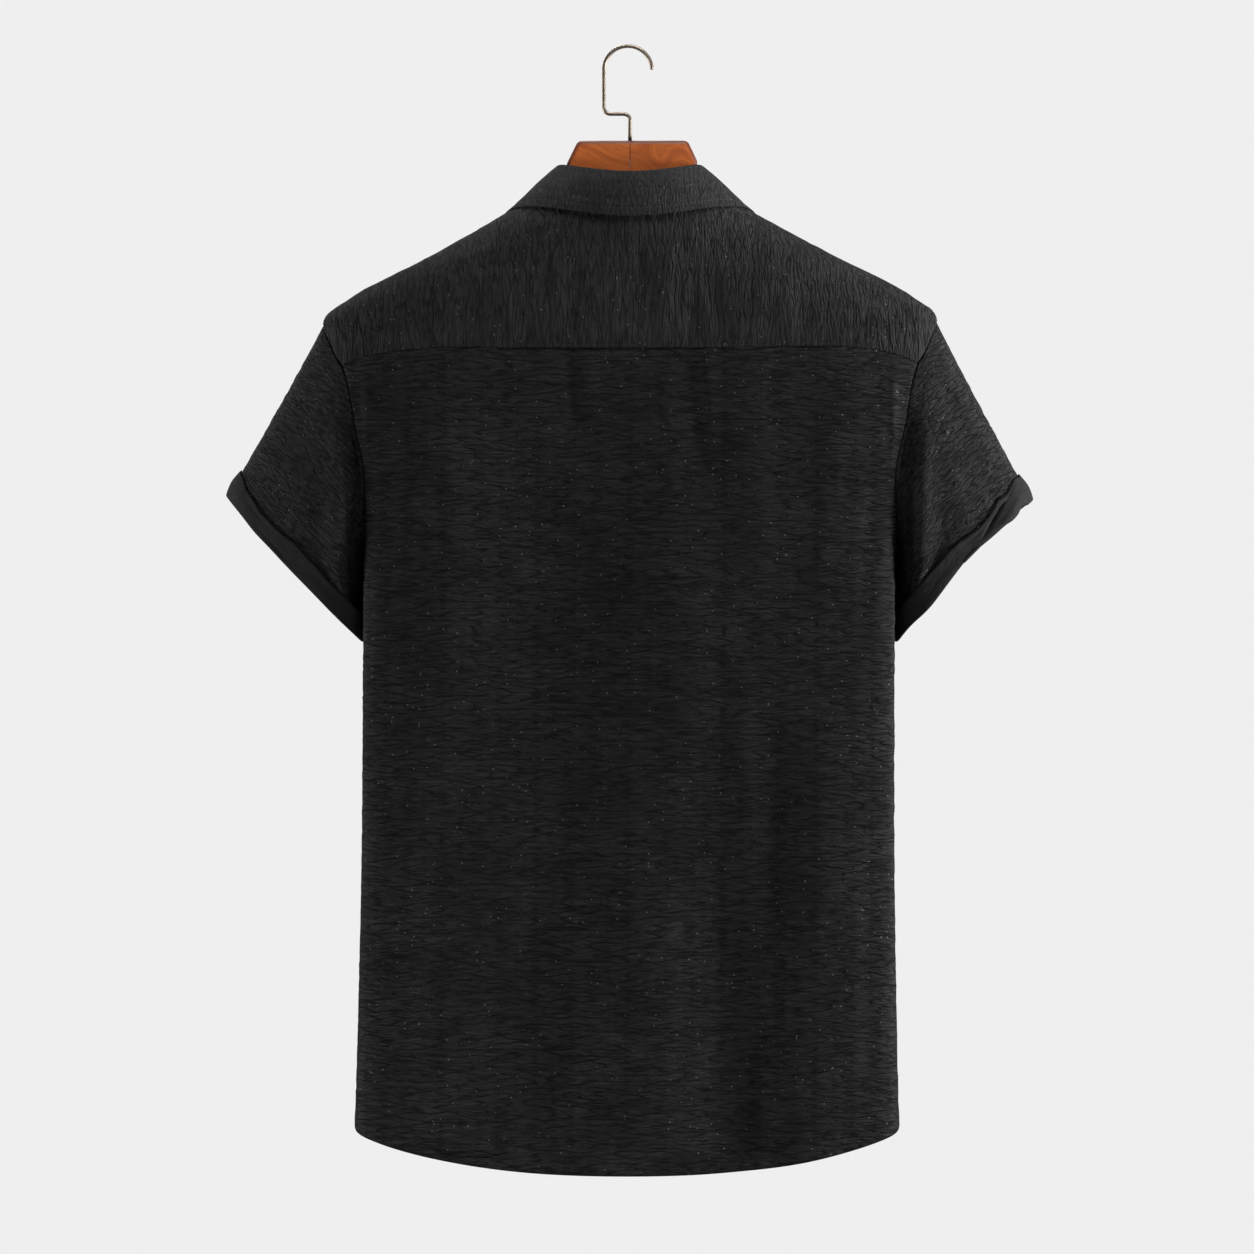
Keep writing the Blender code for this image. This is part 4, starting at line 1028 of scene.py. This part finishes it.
def fallSection(share, look):
    # from the inner side of the fold over the stand, out and down to the collar's edge
    turn = 1 if share >= 0 else -1
    foldAt, edgeAt = look["endAtFold"] * abs(share), look["endAtPoint"] * abs(share)
    sizes = tableRow(("around", "edgeDown", "belly", "crest"), look["table"], edgeAt)
    limit = 2 - standLook["overlap"] * 1.3
    if foldAt > limit:
        root = ringPoints(standRing, [turn * foldAt])[0]
    else:
        root = standPoints([turn * foldAt], 1.0)[0]
    out = root * np.array((1.0, 1.0, 0.0))
    out /= np.linalg.norm(out)
    up = np.array((0.0, 0.0, 1.0))
    edge = bodyPoint(turn * edgeAt, sizes["edgeDown"])
    lift = look["lift"] - look["restsBy"] * math.exp(-((edgeAt - 0.95) / 0.35) ** 2)
    edge = edge + bodyNormal(turn * edgeAt, sizes["edgeDown"]) * lift
    crest = sizes["crest"]
    inner = root - out * 1.6 + up * 2.45
    top = root + out * 0.6 + up * (2.0 + crest)
    shoulder = root + out * 5.4 + up * (crest - 1.2)
    control = (shoulder + edge) / 2 + (out + up * 0.6) * sizes["belly"]
    crown = top * 2 - (inner + shoulder) / 2
    line = [inner - up * 7 - out * 0.2, inner - up * 3.5 - out * 0.1]
    for t in np.linspace(0, 1, 12)[:-1]:
        line.append(inner * (1 - t) ** 2 + crown * 2 * t * (1 - t) + shoulder * t * t)
    for t in np.linspace(0, 1, look["rows"]):
        line.append(shoulder * (1 - t) ** 2 + control * 2 * t * (1 - t) + edge * t * t)
    return line


def makeFall(look):
    share = np.linspace(-1, 1, look["columns"])
    rows = np.array([fallSection(s, look) for s in share]).transpose(1, 0, 2)
    fromTop, toEdge, walked = gridDistances(rows)
    toEnd = fromNearEnd(walked)
    near = np.minimum(toEdge, toEnd)
    upright = 1 - easeStep(0.42, 0.62, np.abs((share[1:] + share[:-1]) / 2))
    step = np.diff(rows, axis=1)
    step = np.abs(step[:, :, 0]) * upright + np.linalg.norm(step, axis=2) * (1 - upright)
    across = np.concatenate((np.zeros((rows.shape[0], 1)), np.cumsum(step, axis=1)), axis=1)
    across = across - across[:, look["columns"] // 2][:, None]
    height = crinkleHeight(fromTop, across + 400, look["crinkle"]) * easeStep(9, 16, fromTop)
    height = height * (0.35 + 0.65 * easeStep(look["stitchIn"] - 1, look["stitchIn"] + 2, near))
    height = height - 0.6 * np.exp(-((near - look["stitchIn"]) / 0.7) ** 2)
    grid = {"rows": rows, "height": height, "along": fromTop, "across": across + 2600,
        "wall": edgeTaper(near, 1.4)}
    made = clothPiece("collarFall", "collar", [grid], look["wall"], collarClothPaintedLight,
        lambda c: c * np.array((0.9, 0.9, 1.0)) - np.array((0, 0, 25.0)))
    grid.update(toEdge=toEdge, toEnd=toEnd)
    print("fall: edge", round(walked[-1, -1], 1), "depth", round(fromTop[-1].mean(), 1))
    return made, grid


collarFall, fallGrid = makeFall(fallLook)

# buttons: turned rims with four holes and a crossing of thread, and their buttonholes

buttonLook = {"drops": (252, 342, 432, 522, 612, 702), "width": 11.0, "thick": 2.8, "dish": 0.7,
    "sides": 40, "hole": 0.75, "holeReach": 1.5, "gap": 0.4, "standLift": 0.9, "holeLength": 14.0}
buttonResin = plainMaterial("buttonResin", (0.010, 0.010, 0.011), 0.34, 0.35, 0.0, 260.0)


def circleVerts(bm, x, y, radius, z, count):
    angles = [2 * math.pi * k / count for k in range(count)]
    return [bm.verts.new((x + radius * math.cos(a), y + radius * math.sin(a), z)) for a in angles]


def joinLoops(bm, low, high):
    for k in range(len(low)):
        n = (k + 1) % len(low)
        bm.faces.new((low[k], low[n], high[n], high[k]))


def makeButton(name, node, place, normal, look):
    radius, thick, dish = look["width"] / 2, look["thick"], look["dish"]
    profile = [(0.42, thick - dish - 0.15), (0.6, thick - dish), (0.68, thick - dish * 0.35),
        (0.76, thick), (0.86, thick), (0.95, thick * 0.86), (1.0, thick * 0.6), (0.985, thick * 0.35),
        (0.9, 0.1), (0.6, 0.0)]
    bm = bmesh.new()
    sides = look["sides"]
    rings = [circleVerts(bm, 0.0, 0.0, radius * r, z, sides) for r, z in profile]
    for low, high in zip(rings, rings[1:]):
        joinLoops(bm, low, high)
    bm.faces.new(list(reversed(rings[-1])))
    # the middle of the dish is a disc with four holes through it
    holes, steps, floorZ = [], 10, thick - dish - 0.15
    for h in range(4):
        angle = math.pi / 4 + math.pi / 2 * h
        x, y = look["holeReach"] * math.cos(angle), look["holeReach"] * math.sin(angle)
        holes.append(circleVerts(bm, x, y, look["hole"], floorZ, steps))
    edges = [bm.edges.get((rings[0][s], rings[0][(s + 1) % sides])) for s in range(sides)]
    for loop in holes:
        edges += [bm.edges.new((loop[k], loop[(k + 1) % steps])) for k in range(steps)]
    bmesh.ops.triangle_fill(bm, edges=edges, use_beauty=True, use_dissolve=False, normal=(0, 0, 1))
    for loop in holes:
        deep = [bm.verts.new((v.co.x, v.co.y, floorZ - 1.2)) for v in loop]
        joinLoops(bm, loop, deep)
        bm.faces.new(deep)
    bmesh.ops.recalc_face_normals(bm, faces=bm.faces)
    turnTo = Vector(normal).to_track_quat("Z", "Y").to_matrix().to_4x4()
    for v in bm.verts:
        v.co = (turnTo @ v.co + Vector(place)) * mm
    mesh = bpy.data.meshes.new(name)
    bm.to_mesh(mesh)
    bm.free()
    placePiece(name, mesh, buttonResin, node)
    return turnTo


def threadCross(turnTo, place, look):
    # four threads between the holes, two one way and two the other
    reach, z = look["holeReach"] * 0.707, look["thick"] - look["dish"] - 0.05
    runs = []
    for a, b in (((-1, -1), (1, 1)), ((-1, 1), (1, -1))):
        for off in (-0.2, 0.2):
            line, lifted = [], []
            for s in np.linspace(0, 1, 7):
                x = reach * (a[0] + (b[0] - a[0]) * s) + off
                y = reach * (a[1] + (b[1] - a[1]) * s) - off * (b[1] - a[1]) / 2
                point = turnTo @ Vector((x, y, z + 0.35 * math.sin(math.pi * s))) + Vector(place)
                line.append(tuple(point))
                lifted.append(tuple(turnTo.to_3x3() @ Vector((0, 0, 1))))
            runs.append((np.array(line), np.array(lifted)))
    return runs


def satinHole(centre, up, along, length):
    # a worked buttonhole: close threads across both lips and a bar at each end
    side = np.cross(along, up)
    runs = []
    for k in range(int(length / 0.55) + 1):
        at = centre + along * (k * 0.55 - length / 2)
        for lip in (-1, 1):
            ends = (at + side * lip * 0.25, at + side * lip * 1.25)
            runs.append((np.array(ends), np.array((up, up))))
    for end in (-1, 1):
        for k in range(4):
            at = centre + along * end * (length / 2 + 0.3 + k * 0.3)
            runs.append((np.array((at - side * 1.3, at + side * 1.3)), np.array((up, up))))
    return runs


def surfaceAt(grid, x, z):
    # the finished surface's nearest grid point to a place seen from the front or the back
    flat = grid["done"][:, :, (0, 2)] - np.array((x, z))
    spot = np.unravel_index(np.argmin(np.sum(flat * flat, axis=2)), flat.shape[:2])
    return grid["done"][spot], grid["normals"][spot]


crossRuns, holeRuns = [], []
for i, drop in enumerate(buttonLook["drops"]):
    normal = bodyNormal(2.0, drop)
    place = bodyPoint(2.0, drop) + normal * buttonLook["gap"]
    turnTo = makeButton(f"button{i + 1}", f"button_{i + 1}", place, normal, buttonLook)
    crossRuns += threadCross(turnTo, place, buttonLook)
    spot, up = surfaceAt(leftGrid, place[0], place[2])
    along = np.array((0.0, 0.0, 1.0)) - up * up[2]
    holeRuns += satinHole(spot + along * 2.0, up, along / np.linalg.norm(along), buttonLook["holeLength"])
low, high = standPoints([-2.0], 0.25)[0], standPoints([-2.0], 0.75)[0]
normal = np.cross(high - low, (1.0, 0.0, 0.0))
normal /= np.linalg.norm(normal) * (1 if normal[1] > 0 else -1)
place = (low + high) / 2 + normal * (buttonLook["standLift"] + buttonLook["gap"])
turnTo = makeButton("button7", "button_7", place, normal, buttonLook)
crossRuns += threadCross(turnTo, place, buttonLook)
spot = (low + high) / 2 + normal * 0.2
holeRuns += satinHole(spot, normal, np.array((1.0, 0.0, 0.0)), buttonLook["holeLength"])
stitchRun("buttonThreads", crossRuns, {"length": 2.0, "space": 0.05, "radius": 0.2}, threadBlack)
stitchRun("buttonholes", holeRuns, {"length": 0.95, "space": 0.02, "radius": 0.2}, threadBlack)
print("buttons and buttonholes made")

# topstitching

stitchLook = {"length": 2.3, "space": 0.6, "radius": 0.2, "hemIn": 7.6, "bandIn": 31.5, "edgeIn": 1.8,
    "yokeIn": 2.0}
runs = [traceAt(backGrid, backGrid["toHem"], stitchLook["hemIn"])]
for grid in (leftGrid, rightGrid):
    runs.append(traceAt(grid, grid["toHem"], stitchLook["hemIn"]))
    for inset in ("bandIn", "edgeIn"):
        runs.append(traceAcross(cutGrid(grid, slice(20, None)), grid["fromEdge"][20:], stitchLook[inset]))
stitchRun("hemAndBandStitches", runs, stitchLook, threadBlack)
upper, lower = yokeGrids
runs = [traceAt(lower, lower["toSeam"], stitchLook["yokeIn"])]
for columns in (slice(0, 18), slice(-18, None)):
    away = runLength(upper["rows"], 1)[:, columns]
    if columns.start:
        away = away[:, -1:] - away
    runs.append(traceAcross(cutGrid(upper, columns=columns), away, stitchLook["yokeIn"]))
stitchRun("yokeStitches", runs, stitchLook, threadBlack)
toEdge, toEnd, stitchIn = fallGrid["toEdge"], fallGrid["toEnd"], fallLook["stitchIn"]
line, lifted = traceAt(fallGrid, toEdge, stitchIn)
ends = dict(fallGrid, done=np.repeat(toEnd[:, :, None], 3, axis=2))
between = traceAt(ends, toEdge, stitchIn)[0][:, 0] > stitchIn
runs = [(line[between], lifted[between])]
half = fallLook["columns"] // 2
for columns, nearEnd in ((slice(0, half), 3), (slice(-half, None), -4)):
    line, lifted = traceAcross(cutGrid(fallGrid, columns=columns), toEnd[:, columns], stitchIn)
    depth = toEdge[:, nearEnd]
    below = (depth > stitchIn) & (np.arange(len(depth)) > 14)
    runs.append((line[below], lifted[below]))
stitchRun("collarStitches", runs, dict(stitchLook, length=1.7, space=1.5), threadPaintedSheen)
runs = [traceAt(standGrid, standGrid["climb"], stitchLook["edgeIn"])]
stitchRun("standStitches", runs, stitchLook, threadBlack)
print("topstitching made")

# wooden hanger

hangerLook = {"thick": 14.0, "round": 4.0, "end": 222.0, "underCloth": 2.8, "dropsAway": 2.2,
    "inner": 46.0, "outer": 27.0, "armFrom": 76, "tip": (12, 13.5), "foot": 20, "arch": -143.0,
    "neck": 66.0, "top": -72.5, "joint": 0.03, "heads": {"left": ((0.03, -72.5), (20, -72.5),
    (37.5, -72.5), (39.6, -73.0), (41.4, -74.5), (44.9, -81.5), (48.6, -89.0), (50.3, -94.0),
    (51.3, -103.0), (57.0, -110.5), (66.0, -115.2)), "right": ((0.03, -72.5), (20, -72.5), (41.5, -72.5),
    (44.0, -73.0), (45.8, -74.5), (49.2, -81.5), (52.4, -88.5), (52.6, -94.0), (51.8, -103.0),
    (57.0, -110.5), (66.0, -115.2))}}


def ridgeDrop(x):
    downs = np.linspace(neckLevel, tipLevel, 60)
    widths = [bodyRing(d)["sizes"]["halfWidth"] for d in downs]
    drops = [bodyRing(d)["sizes"]["sideDrop"] for d in downs]
    return -float(np.interp(x, widths, drops))


def armTop(x, look):
    share = max(0.0, (x - look["neck"]) / (look["end"] - look["neck"]))
    return ridgeDrop(x) - look["underCloth"] - look["dropsAway"] * share ** 2


def hangerOutline(side, look):
    start, last, foot = look["armFrom"], look["end"] - look["tip"][0], look["end"] - look["foot"]
    outline = list(look["heads"][side])
    for x in np.linspace(start, last, 24):
        outline.append((x, armTop(x, look)))
    middle = outline[-1][1] - look["outer"] / 2
    for k in range(1, 16):
        angle = math.radians(80 - 11 * k)
        outline.append((last + look["tip"][0] * math.cos(angle), middle + look["tip"][1]
            * math.sin(angle)))
    for x in np.linspace(foot, start, 16):
        share = (x - start) / (foot - start)
        outline.append((x, armTop(x, look) - look["inner"] - (look["outer"] - look["inner"]) * share))
    underNeck = outline[-1][1]
    for x in (66, 56, 46, 36, 27, 18, 9, look["joint"]):
        outline.append((x, look["arch"] + (underNeck - look["arch"]) * (x / start) ** 2))
    return outline


def makeWoodGroup():
    inputs = (("Place", None), ("Swirl", 0.3))
    group, given, result = newGroup("woodGrain", inputs, ("Figure", "Pores"))
    add, less, times, over = mathTools(group)
    wander = less(noiseAt(group, given["Place"], 22.0, 1.0), 0.5)
    parts = put(group, "ShaderNodeSeparateXYZ", {0: given["Place"]}).outputs
    z = add(parts[2], times(wander, times(given["Swirl"], 0.06)))
    stretched = joinedXYZ(group, times(parts[0], 14.0), times(parts[1], 60.0), times(z, 420.0))
    poreSpot = joinedXYZ(group, times(parts[0], 160.0), times(parts[1], 900.0), times(z, 2300.0))
    fill(group, result, {"Figure": mapped(group, noiseAt(group, stretched, 0.55, 4.0, 0.62), 0.32, 0.68),
        "Pores": mapped(group, noiseAt(group, poreSpot, 1.0, 1.0), 0.6, 0.72, 0.0, 0.7)})
    return group


woodGroup = makeWoodGroup()
woodLook = {"dark": (0.25, 0.057, 0.0125, 1), "light": (0.44, 0.118, 0.026, 1),
    "pore": (0.16, 0.034, 0.012, 1), "rim": (0.085, 0.022, 0.011, 1), "joint": (0.06, 0.012, 0.008, 1)}


def makeWood(name, seed, swirl, look):
    made, tree, shader = newMaterial(name)
    place = put(tree, "ShaderNodeTexCoord").outputs["Object"]
    tilt = math.radians(-24 if swirl < 0 else 24)
    turned = put(tree, "ShaderNodeMapping", {0: place, "Location": (seed, seed * 0.7, 0),
        "Rotation": (0, tilt, 0)})
    grain = put(tree, "ShaderNodeGroup", node_tree=woodGroup)
    figure, pores = fill(tree, grain, {"Place": turned.outputs[0], "Swirl": abs(swirl)}).outputs
    base = mixColour(tree, figure, look["dark"], look["light"])
    base = mixColour(tree, pores, base, look["pore"])
    rim = put(tree, "ShaderNodeAttribute", attribute_name="rim").outputs["Fac"]
    edge = mixColour(tree, mapped(tree, rim, 0.05, 0.6), base, look["rim"])
    fromJoint = calc(tree, "ABSOLUTE", put(tree, "ShaderNodeSeparateXYZ", {0: place}).outputs[0])
    joint = mapped(tree, fromJoint, 0.0002, 0.0007, 0.75, 0.0)
    fill(tree, shader, {"Base Color": mixColour(tree, joint, edge, look["joint"]),
        "Roughness": mapped(tree, figure, 0, 1, 0.5, 0.4), "Specular IOR Level": 0.18,
        "Normal": bumped(tree, pores, -0.05), "Coat Weight": 0.02, "Coat Roughness": 0.3})
    return made


def closedMesh(name, verts, faces):
    mesh = bpy.data.meshes.new(name)
    mesh.from_pydata(verts, [], faces)
    bm = bmesh.new()
    bm.from_mesh(mesh)
    bmesh.ops.recalc_face_normals(bm, faces=bm.faces)
    bm.to_mesh(mesh)
    bm.free()
    return mesh


def makeHangerHalf(turn, side, look, finish):
    points = np.array(hangerOutline(side, look))
    joint = np.abs(points[:, 0] - look["joint"]) < 0.01
    # inward directions of the outline, none across the joint line
    after = np.roll(points, -1, axis=0)
    tangent = after - np.roll(points, 1, axis=0)
    normal = unit(np.stack((-tangent[:, 1], tangent[:, 0]), axis=1))
    area = 0.5 * np.sum(points[:, 0] * after[:, 1] - after[:, 0] * points[:, 1])
    inward = normal * (1 if area > 0 else -1)
    inward[joint] = np.array((0.0, -1.0))
    inward[joint & (points[:, 1] < -100)] = np.array((0.0, 1.0))
    steps = 7
    verts, rim = [], []
    for s in range(2 * steps):
        part = s if s < steps else 2 * steps - 1 - s
        angle = math.pi / 2 * part / (steps - 1)
        depth = look["thick"] / 2 - look["round"] * (1 - math.cos(angle))
        y = -depth if s < steps else depth
        for x, z in points + inward * look["round"] * (1 - math.sin(angle)):
            verts.append((turn * x * mm, y * mm, z * mm))
            rim.append(math.sin(angle) if part else 0.0)
    name = "hangerHalf" + side.capitalize()
    mesh = closedMesh(name, verts, tubeFaces(2 * steps, len(points)))
    mesh.attributes.new("rim", "FLOAT", "POINT").data.foreach_set("value", rim)
    placePiece(name, mesh, finish, "hanger_half_" + side)
    mesh.set_sharp_from_angle(angle=math.radians(50))


makeHangerHalf(-1, "left", hangerLook, makeWood("woodPlain", 0.13, -0.25, woodLook))
makeHangerHalf(1, "right", hangerLook, makeWood("woodSwirl", 0.41, 2.4, woodLook))

# wire hook

hookLook = {"wire": 3.0, "centre": (-1.6, -17.2), "radius": 18.7, "jog": -51.5, "corner": 5.0,
    "entry": 15.0, "sides": 20}


def makeHookFinish():
    made, tree, shader = newMaterial("warmNickel")
    place = put(tree, "ShaderNodeTexCoord").outputs["Object"]
    cloudy = noiseAt(tree, place, 120.0, 3.0)
    plated = mixColour(tree, cloudy, (0.15, 0.122, 0.098, 1), (0.21, 0.175, 0.145, 1))
    z = put(tree, "ShaderNodeSeparateXYZ", {0: place}).outputs[2]
    atWood = mapped(tree, z, -0.0705, -0.0692, 1.0, 0.0)
    fill(tree, shader, {"Base Color": mixColour(tree, atWood, plated, (0.02, 0.014, 0.012, 1)),
        "Roughness": mapped(tree, cloudy, 0.3, 0.7, 0.42, 0.52), "Metallic": 1.0,
        "Normal": bumped(tree, noiseAt(tree, place, 1900.0, 1.0), 0.002)})
    return made


def makeHook(look):
    cx, cz = look["centre"]
    left, c = cx - look["radius"], look["corner"]
    top = hangerLook["top"]
    path = [(0.0, top - look["entry"] + 0.4), (0.0, top), (0.0, look["jog"] - c - 1)]

    def turnArc(ax, az, radius, first, last, count):
        for k in range(count):
            angle = math.radians(first + (last - first) * k / (count - 1))
            path.append((ax + radius * math.cos(angle), az + radius * math.sin(angle)))

    turnArc(-c, look["jog"] - c, c, 0, 90, 12)
    turnArc(left + c, look["jog"] + c, c, 270, 180, 12)
    turnArc(cx, cz, look["radius"], 180, 3, 64)
    line = np.array([(x, 0.0, z) for x, z in path])
    ahead = unit(np.gradient(line, axis=0))
    deep = np.array((0.0, 1.0, 0.0))
    sides, radius = look["sides"], look["wire"] / 2
    verts = []
    # the tip is rounded over by a few narrowing rings
    rings = [(line[k], ahead[k], 1.0) for k in range(len(line))]
    for angle in (0.5, 0.95, 1.3):
        rings.append((line[-1] + ahead[-1] * radius * math.sin(angle) * 0.5, ahead[-1], math.cos(angle)))
    for spot, way, swell in rings:
        verts += tubeRing(spot, np.cross(way, deep), deep, radius, swell, sides)
    mesh = closedMesh("hangerHook", verts, tubeFaces(len(rings), sides))
    placePiece("hangerHook", mesh, makeHookFinish(), "hanger_hook")


makeHook(hookLook)
print("hanger and hook made")

# floor, light and camera

studio = {"ambient": 0.055, "backdrop": 0.863, "floorDrop": -1.3, "floorRadius": 1.8,
    "aim": (0, 0, -0.42),
    # name, place, size and power
    "lights": (("keyRight", (1.75, -0.22, -0.35), 0.5, 95.0), ("fillLeft", (-1.7, -0.24, -0.6), 0.6,
    37.0), ("topSoft", (0.25, -0.5, 0.95), 0.6, 21.0), ("cameraSoft", (0.6, -3.4, 0.6), 1.2, 1.5),
    ("lowSoft", (-0.15, -0.42, -1.12), 0.5, 2.3), ("frontRight", (-1.8, 0.8, -0.3), 0.6, 14.0),
    ("frontLeft", (1.7, 0.9, -0.5), 0.6, 9.0), ("frontTop", (-0.3, 0.8, 1.0), 0.6, 16.0),
    ("frontSoft", (-0.8, 3.2, 0.4), 1.2, 16.0))}


def makeFloorFinish():
    # seen directly it melts into the backdrop; to other rays it is a dull grey floor
    made, tree, shader = newMaterial("paleFloor")
    fill(tree, shader, {"Base Color": (0.25, 0.25, 0.25, 1), "Roughness": 0.9})
    faint = noiseAt(tree, put(tree, "ShaderNodeTexCoord").outputs["Object"], 3.0)
    level = mapped(tree, faint, 0.3, 0.7, studio["backdrop"] * 0.99, studio["backdrop"])
    glow = put(tree, "ShaderNodeEmission", {"Strength": level})
    path = put(tree, "ShaderNodeLightPath").outputs["Is Camera Ray"]
    either = put(tree, "ShaderNodeMixShader", {0: path, 1: shader.outputs[0], 2: glow.outputs[0]})
    # from underneath the floor lets the view through
    under = put(tree, "ShaderNodeNewGeometry").outputs["Backfacing"]
    clear = put(tree, "ShaderNodeBsdfTransparent")
    whole = put(tree, "ShaderNodeMixShader", {0: under, 1: either.outputs[0], 2: clear.outputs[0]})
    tree.links.new(whole.outputs[0], tree.nodes["Material Output"].inputs[0])
    return made


bm = bmesh.new()
bmesh.ops.create_circle(bm, cap_ends=True, segments=96, radius=studio["floorRadius"])
bmesh.ops.recalc_face_normals(bm, faces=bm.faces)
for face in bm.faces:
    if face.normal.z < 0:
        face.normal_flip()
floorMesh = bpy.data.meshes.new("studioFloor")
bm.to_mesh(floorMesh)
bm.free()
floorMesh.materials.append(makeFloorFinish())
floor = addObject("studioFloor", floorMesh)
floor.location = (0, 0, studio["floorDrop"])

world = bpy.data.worlds.new("paleStudio")
bpy.context.scene.world = world
world.use_nodes = True
sky = world.node_tree
for old in list(sky.nodes):
    sky.nodes.remove(old)
seen = put(sky, "ShaderNodeBackground", {"Color": (1, 1, 1, 1), "Strength": studio["backdrop"]})
soft = put(sky, "ShaderNodeBackground", {"Color": (1, 1, 1, 1), "Strength": studio["ambient"]})
path = put(sky, "ShaderNodeLightPath")
either = put(sky, "ShaderNodeMixShader", {0: path.outputs["Is Camera Ray"], 1: soft.outputs[0],
    2: seen.outputs[0]})
put(sky, "ShaderNodeOutputWorld", {0: either.outputs[0]})

for name, spot, size, power in studio["lights"]:
    lamp = bpy.data.lights.new(name, "AREA")
    lamp.shape = "DISK"
    lamp.size = size
    lamp.energy = power
    made = addObject(name, lamp)
    made.location = spot
    made.rotation_euler = (Vector(studio["aim"]) - Vector(spot)).to_track_quat("-Z", "Y").to_euler()
    made.visible_camera = False

cameraLook = {"x": -0.0023, "z": -0.4516, "away": 5.0, "viewWidth": 0.978, "sensor": 36}
cameraData = bpy.data.cameras.new("photoView")
cameraData.lens = cameraLook["sensor"] * cameraLook["away"] / cameraLook["viewWidth"]
cameraData.sensor_width = cameraLook["sensor"]
camera = addObject("photoView", cameraData)
camera.location = (cameraLook["x"], -cameraLook["away"], cameraLook["z"])
camera.rotation_euler = (math.radians(90), 0, 0)
bpy.context.scene.camera = camera
bpy.context.scene.view_settings.view_transform = "Standard"
